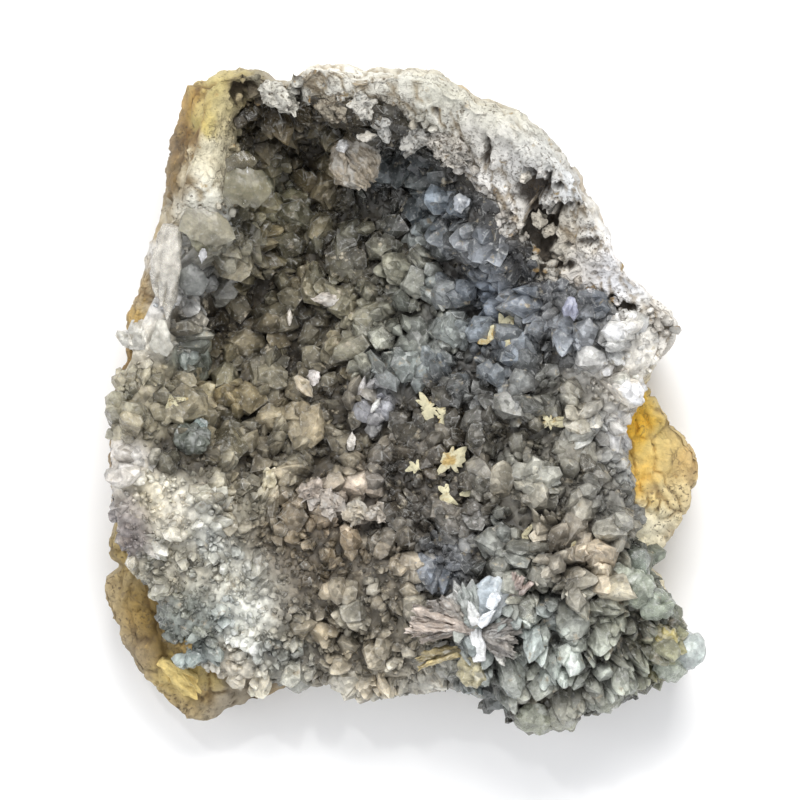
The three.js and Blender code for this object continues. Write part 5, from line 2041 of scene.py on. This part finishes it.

# Clear slabs that jut out of the left wall over the dark of the hollow, with two white slivers that are
# painted glints.
CLEAR_BLADES = [
    Blade((-35.5, 43.6), 1.6, 352, 86, 12, 8, 2.4, (140, 134, 108), 0.3, 1, 0.25, 0.06, PLATE, 0.1),
    Blade((-35, 47.2), 2, 12, 82, 8, 4.6, 1.6, (110, 102, 78), 0.3, 1, 0.2, 0.08, PLATE, 0.15),
    # A white sliver on the slab: a painted glint.
    Blade((-30.4, 43.6), 13.4, 96, 88, 4, 1.2, 0.8, (250, 250, 252), 0.1, 1, 0.1, 0.05, LEAF),
    Blade((-44, 37), 1.4, 340, 90, 12.6, 7, 2.6, (176, 170, 148), 0.4, 1, 0.3, 0.07, PLATE, 0.1),
    Blade((-41.6, 34.6), 1.4, 312, 86, 7, 4.6, 1.8, (158, 154, 128), 0.4, 1, 0.2, 0.1, PLATE, 0.15),
    # A white sliver: a painted glint.
    Blade((-39.4, 31), 6.6, 262, 88, 3.6, 1.8, 1, (250, 250, 252), 0.1, 1, 0.2, 0.05, LEAF),
    Blade((-43.4, 27.4), 1.6, 300, 86, 7.6, 5.6, 2, (142, 144, 140), 0.3, 1, 0.2, 0.1, PLATE, 0.15),
    Blade((-48, 17), 1.6, 270, 84, 8.4, 4.8, 1.8, (218, 215, 203), 0.4, 2, 0.15, 0.1, WEDGE, 0.2),
    Blade((-45.8, 36), -0.4, 262, 97, 22, 6, 4, (224, 219, 208), 0.6, 3, 0.3, 0.12, PLATE, 0.3),
]

# Knobs and ridges of rock: the lip's ragged lower edge, nodules in the cavities, and wedges low on the left.
ROCK_LUMPS = [
    Blade((-28, 63.4), 0, 326, 92, 12.6, 4.4, 4, (208, 205, 194), 0.4, 3, 0.3, 0.5, PLATE),
    Blade((-22, 64), -1, 316, 94, 10.5, 5.6, 4.6, (168, 163, 150), 0.7, 3, 0.25, 0.7, PLATE),
    Blade((-16.5, 60.8), -1, 322, 94, 9.4, 5, 4, (160, 152, 136), 0.7, 3, 0.3, 0.7, PLATE),
    Blade((-9.6, 60.4), -0.6, 330, 88, 6.4, 4.4, 4, (206, 203, 194), 0.6, 2, 0.3, 0.6, PLATE),
    Blade((-4.6, 58.6), -1.2, 300, 94, 7, 5.6, 4, (182, 181, 176), 0.8, 3, 0.3, 0.7, PLATE),
    Blade((1.6, 54.8), -1.6, 290, 94, 6, 5.4, 4, (186, 184, 178), 0.8, 3, 0.3, 0.7, PLATE),
    Blade((5.6, 54), -1.8, 318, 93, 12, 5.6, 4, (196, 191, 182), 0.8, 4, 0.4, 0.7, PLATE),
    Blade((24.4, 45), -2.2, 90, 20, 2.6, 2.6, 2.4, (214, 208, 196), 0.5, 1, 0.2, 0.4, PLATE),
    Blade((27.4, 36.4), -3.4, 90, 20, 3.4, 2.6, 2.2, (214, 206, 190), 0.5, 1, 0.2, 0.4, PLATE),
    Blade((29.4, 34.4), -3.4, 60, 20, 3, 2, 2, (218, 210, 194), 0.5, 1, 0.2, 0.4, PLATE),
    Blade((-49, -51.6), 0.4, 322, 96, 13, 5.2, 3, (218, 194, 126), 0.1, 3, 0.4, 0.25, WEDGE),
    Blade((-46.5, -45), 0.4, 300, 96, 8, 4.4, 3, (142, 120, 74), 0.4, 3, 0.3, 0.5, PLATE),
]


@dataclass(frozen=True)
class Blades:
    """A group of blades in one piece: the rosette, single blades, clear slabs or the rock's lumps."""

    name: str
    blades: Sequence[Blade]
    sheaves: Sequence[Sheaf] = ()
    finish: CrystalFinish | StoneFinish = CrystalFinish(
        "bladed celestite",
        0.1,
        edge_strength=0.3,
        dust_cover=0.12,
        lines=4.0,
        cloud=(0.8, 1.15),
        facet_scale=800.0,
        facet_tones=(0.82, 1.16),
    )
    slot: Slot = Slot.CELESTITE
    crease: float = 26.0

    def build(self) -> None:
        """Makes the piece."""
        rng = np.random.default_rng(SEED + 2)
        parts = [blade.surface(rng) for blade in self.blades]
        for sheaf in self.sheaves:
            parts += sheaf.surfaces(rng)
        surface = Surface.joined(parts)
        surface.piece(self.name, self.finish.material(), self.crease)


CLEAR_FINISH = CrystalFinish(
    "clear celestite",
    0.5,
    glow=0.1,
    edge_strength=0.15,
    facet_tilt=1.2,
    roughness=(0.05, 0.4),
    dust_cover=0.1,
    cloud=(0.75, 1.2),
    lines=3.0,
    facet_scale=260.0,
    facet_tones=(0.8, 1.15),
)
LUMP_FINISH = StoneFinish("limestone knobs", stain=(166, 140, 92), stain_cover=0.15)

# Thin cream crusts that bridge the crystals' tips: x, y, rise, size.
MARL_PATCHES = [
    (20.2, 15.6, 8.2, 3.2), (21.8, 14.2, 8, 2), (5.4, -1, 5.8, 2.2), (8.4, -2.4, 5.8, 1.5),
    (3.6, -3.6, 5.4, 1.5), (9.6, -11.4, 6, 2.4), (13.4, -14.8, 5.8, 2), (14.6, -17.6, 5.6, 1.6),
    (8.8, -18.2, 5.8, 1.8), (6, -7.2, 5.6, 1.6), (29.6, -3.6, 6.2, 1.7), (24, -27, 5.4, 1.5),
    (35, -28.4, 5, 1.8), (-46.4, 1, 5.2, 2), (3, -12.6, 5.4, 1.3),
]


@dataclass(frozen=True)
class MarlPatches:
    """Jagged cream flakes that lie over the tips of the crystals in the middle.

    Drop and thickness are in millimetres. Spread, stretch and sag are shares of a flake's size.
    """

    rows: int = 9
    around: int = 129
    corners: int = 13
    frays: int = 27
    spread: Pair = (0.3, 1.7)
    stretch: float = 0.35
    drop: float = 1.3
    sag: float = 0.12
    thickness: float = 0.35
    colour: Colour = (206, 199, 166)
    finish: StoneFinish = StoneFinish("cream marl", stain=(176, 150, 96), stain_cover=0.35)

    def patch(self, row: tuple[float, ...], channel: int) -> Surface:
        """One flake: its radius goes straight from corner to corner, far and near ones, and it sags outward.

        Args:
            row: Its row of the table.
            channel: Picks its own noise.

        Returns:
            The closed flake.
        """
        x, y, rise, size = row
        turn = np.linspace(0, TURN, self.around, endpoint=False)[None, :]
        share = np.sin(np.linspace(0, math.pi, self.rows))[:, None]
        side = np.sign(np.linspace(1, -1, self.rows))[:, None]
        rng = np.random.default_rng(SEED + channel)
        bearings = (np.arange(self.corners) + rng.uniform(-0.35, 0.35, self.corners)) * TURN / self.corners
        reach = size * np.interp(turn, bearings, rng.uniform(*self.spread, self.corners), period=TURN)
        reach = reach * (1 + self.stretch * np.cos(2 * turn + rng.uniform(0, TURN)))
        frays = np.linspace(0, TURN, self.frays, endpoint=False)
        reach = reach * np.interp(turn, frays, rng.uniform(0.7, 1.3, self.frays), period=TURN)
        ground = FORM.seat(x, y)
        out = share * reach
        height = rise - self.drop + 0.5 * self.thickness * side * (1 - share**6)
        height = height - self.sag * out**2 / size
        points = ground + out[..., None] * level_way(turn) + height[..., None] * UP
        points = points + 0.25 * noise(points, 1.4, channel + 2)[..., None] * UP
        points[0], points[-1] = points[0, :1], points[-1, :1]
        shade = 1 + 0.15 * layered(points, 1.5, 2, 150)
        values = {"tint": light(self.colour) * shade[..., None], "worn": np.full(out.shape, 0.2)}
        return closed_rows(points, values)

    def build(self) -> None:
        """Makes the piece."""
        flakes = [self.patch(row, 160 + 3 * k) for k, row in enumerate(MARL_PATCHES)]
        made = Surface.joined(flakes).piece("marl_patches", self.finish.material(), crease=40)


# The studio.
@dataclass(frozen=True)
class Lamp:
    """A square soft light that faces the specimen: place and side in metres, power in watts."""

    name: str
    place: Triple
    side: float
    power: float
    tone: Triple = (1.0, 1.0, 1.0)
    aim: Triple = (0.0, 0.0, 0.02)

    def build(self) -> None:
        """Hangs the light."""
        data = bpy.data.lights.new(self.name, "AREA")
        data.energy = self.power
        data.size = self.side
        data.color = self.tone
        made = placed(self.name, data)
        made.location = self.place
        way = Vector(self.aim) - Vector(self.place)
        made.rotation_euler = way.to_track_quat("-Z", "Y").to_euler()


@dataclass(frozen=True)
class Studio:
    """The camera over the specimen, the pale floor and the soft lights.

    The middle of the picture, the width it shows and the level it shows it at are in millimetres, and the
    floor's measures are in metres.
    """

    middle: Pair = (-0.4, 0.8)
    shown_width: float = 160.0
    level: float = 30.0
    lens: float = 300.0
    sensor: float = 36.0
    floor_half: float = 2.0
    floor_level: float = -0.0002
    floor_tone: float = 0.92
    surround: tuple[float, float, float, float] = (0.96, 0.97, 1.0, 1.0)
    surround_strength: float = 0.67
    lamps: tuple[Lamp, ...] = (
        Lamp("key", (0.08, 0.54, 0.72), 0.42, 6.3, (1.0, 0.985, 0.96)),
        Lamp("fill", (-0.6, -0.1, 0.5), 0.6, 1.6, (0.95, 0.97, 1.0)),
        Lamp("front", (0.25, -0.45, 0.75), 0.5, 1.5, (0.98, 0.99, 1.0)),
        Lamp("sparkle", (-0.25, 0.35, 0.8), 0.05, 0.9),
    )

    def camera(self) -> None:
        """Looks straight down, from where the frame is as wide as it should be at the given level."""
        data = bpy.data.cameras.new("camera")
        data.lens = self.lens
        data.sensor_width = self.sensor
        made = placed("camera", data)
        height = self.level + self.shown_width * self.lens / self.sensor
        made.location = (self.middle[0] * MM, self.middle[1] * MM, height * MM)
        bpy.context.scene.camera = made

    def floor(self) -> None:
        """A large pale plane just under the specimen."""
        half = self.floor_half
        mesh = bpy.data.meshes.new("floor")
        corners = [(-half, -half), (half, -half), (half, half), (-half, half)]
        mesh.from_pydata([(x, y, self.floor_level) for x, y in corners], [], [(0, 1, 2, 3)])
        wiring, _ = new_material("pale floor")
        wiring.principled({"Base Color": (*(self.floor_tone,) * 3, 1), "Roughness": 0.9})
        mesh.materials.append(wiring.owner)
        made = placed("floor", mesh)

    def build(self) -> None:
        """Sets up the camera, the floor, the lights and the surroundings."""
        self.camera()
        self.floor()
        for lamp in self.lamps:
            lamp.build()
        world = bpy.data.worlds.new("studio")
        world.use_nodes = True
        wiring = Wiring(world.node_tree)
        surround = wiring.add("ShaderNodeBackground", {0: self.surround, 1: self.surround_strength})
        wiring.add("ShaderNodeOutputWorld", {0: surround.outputs[0]})
        bpy.context.scene.world = world
        bpy.context.scene.view_settings.view_transform = "Standard"


def main() -> None:
    logging.basicConfig(level=logging.INFO, format="%(name)s %(message)s")
    parts = (
        Studio(),
        HostRock(),
        RockCrumbs(),
        CrustSheet(),
        Druse(),
        Blades("clear_slabs", CLEAR_BLADES, finish=CLEAR_FINISH),
        Blades("rock_lumps", ROCK_LUMPS, finish=LUMP_FINISH, slot=Slot.ROCK),
        Blades("rosette", ROSETTE, ROSETTE_SHEAVES),
        Blades("single_blades", SINGLE_BLADES, SINGLE_SHEAVES),
        MarlPatches(),
    )
    for part in parts:
        part.build()
        log.info("built %s", type(part).__name__)


if __name__ == "__main__":
    main()
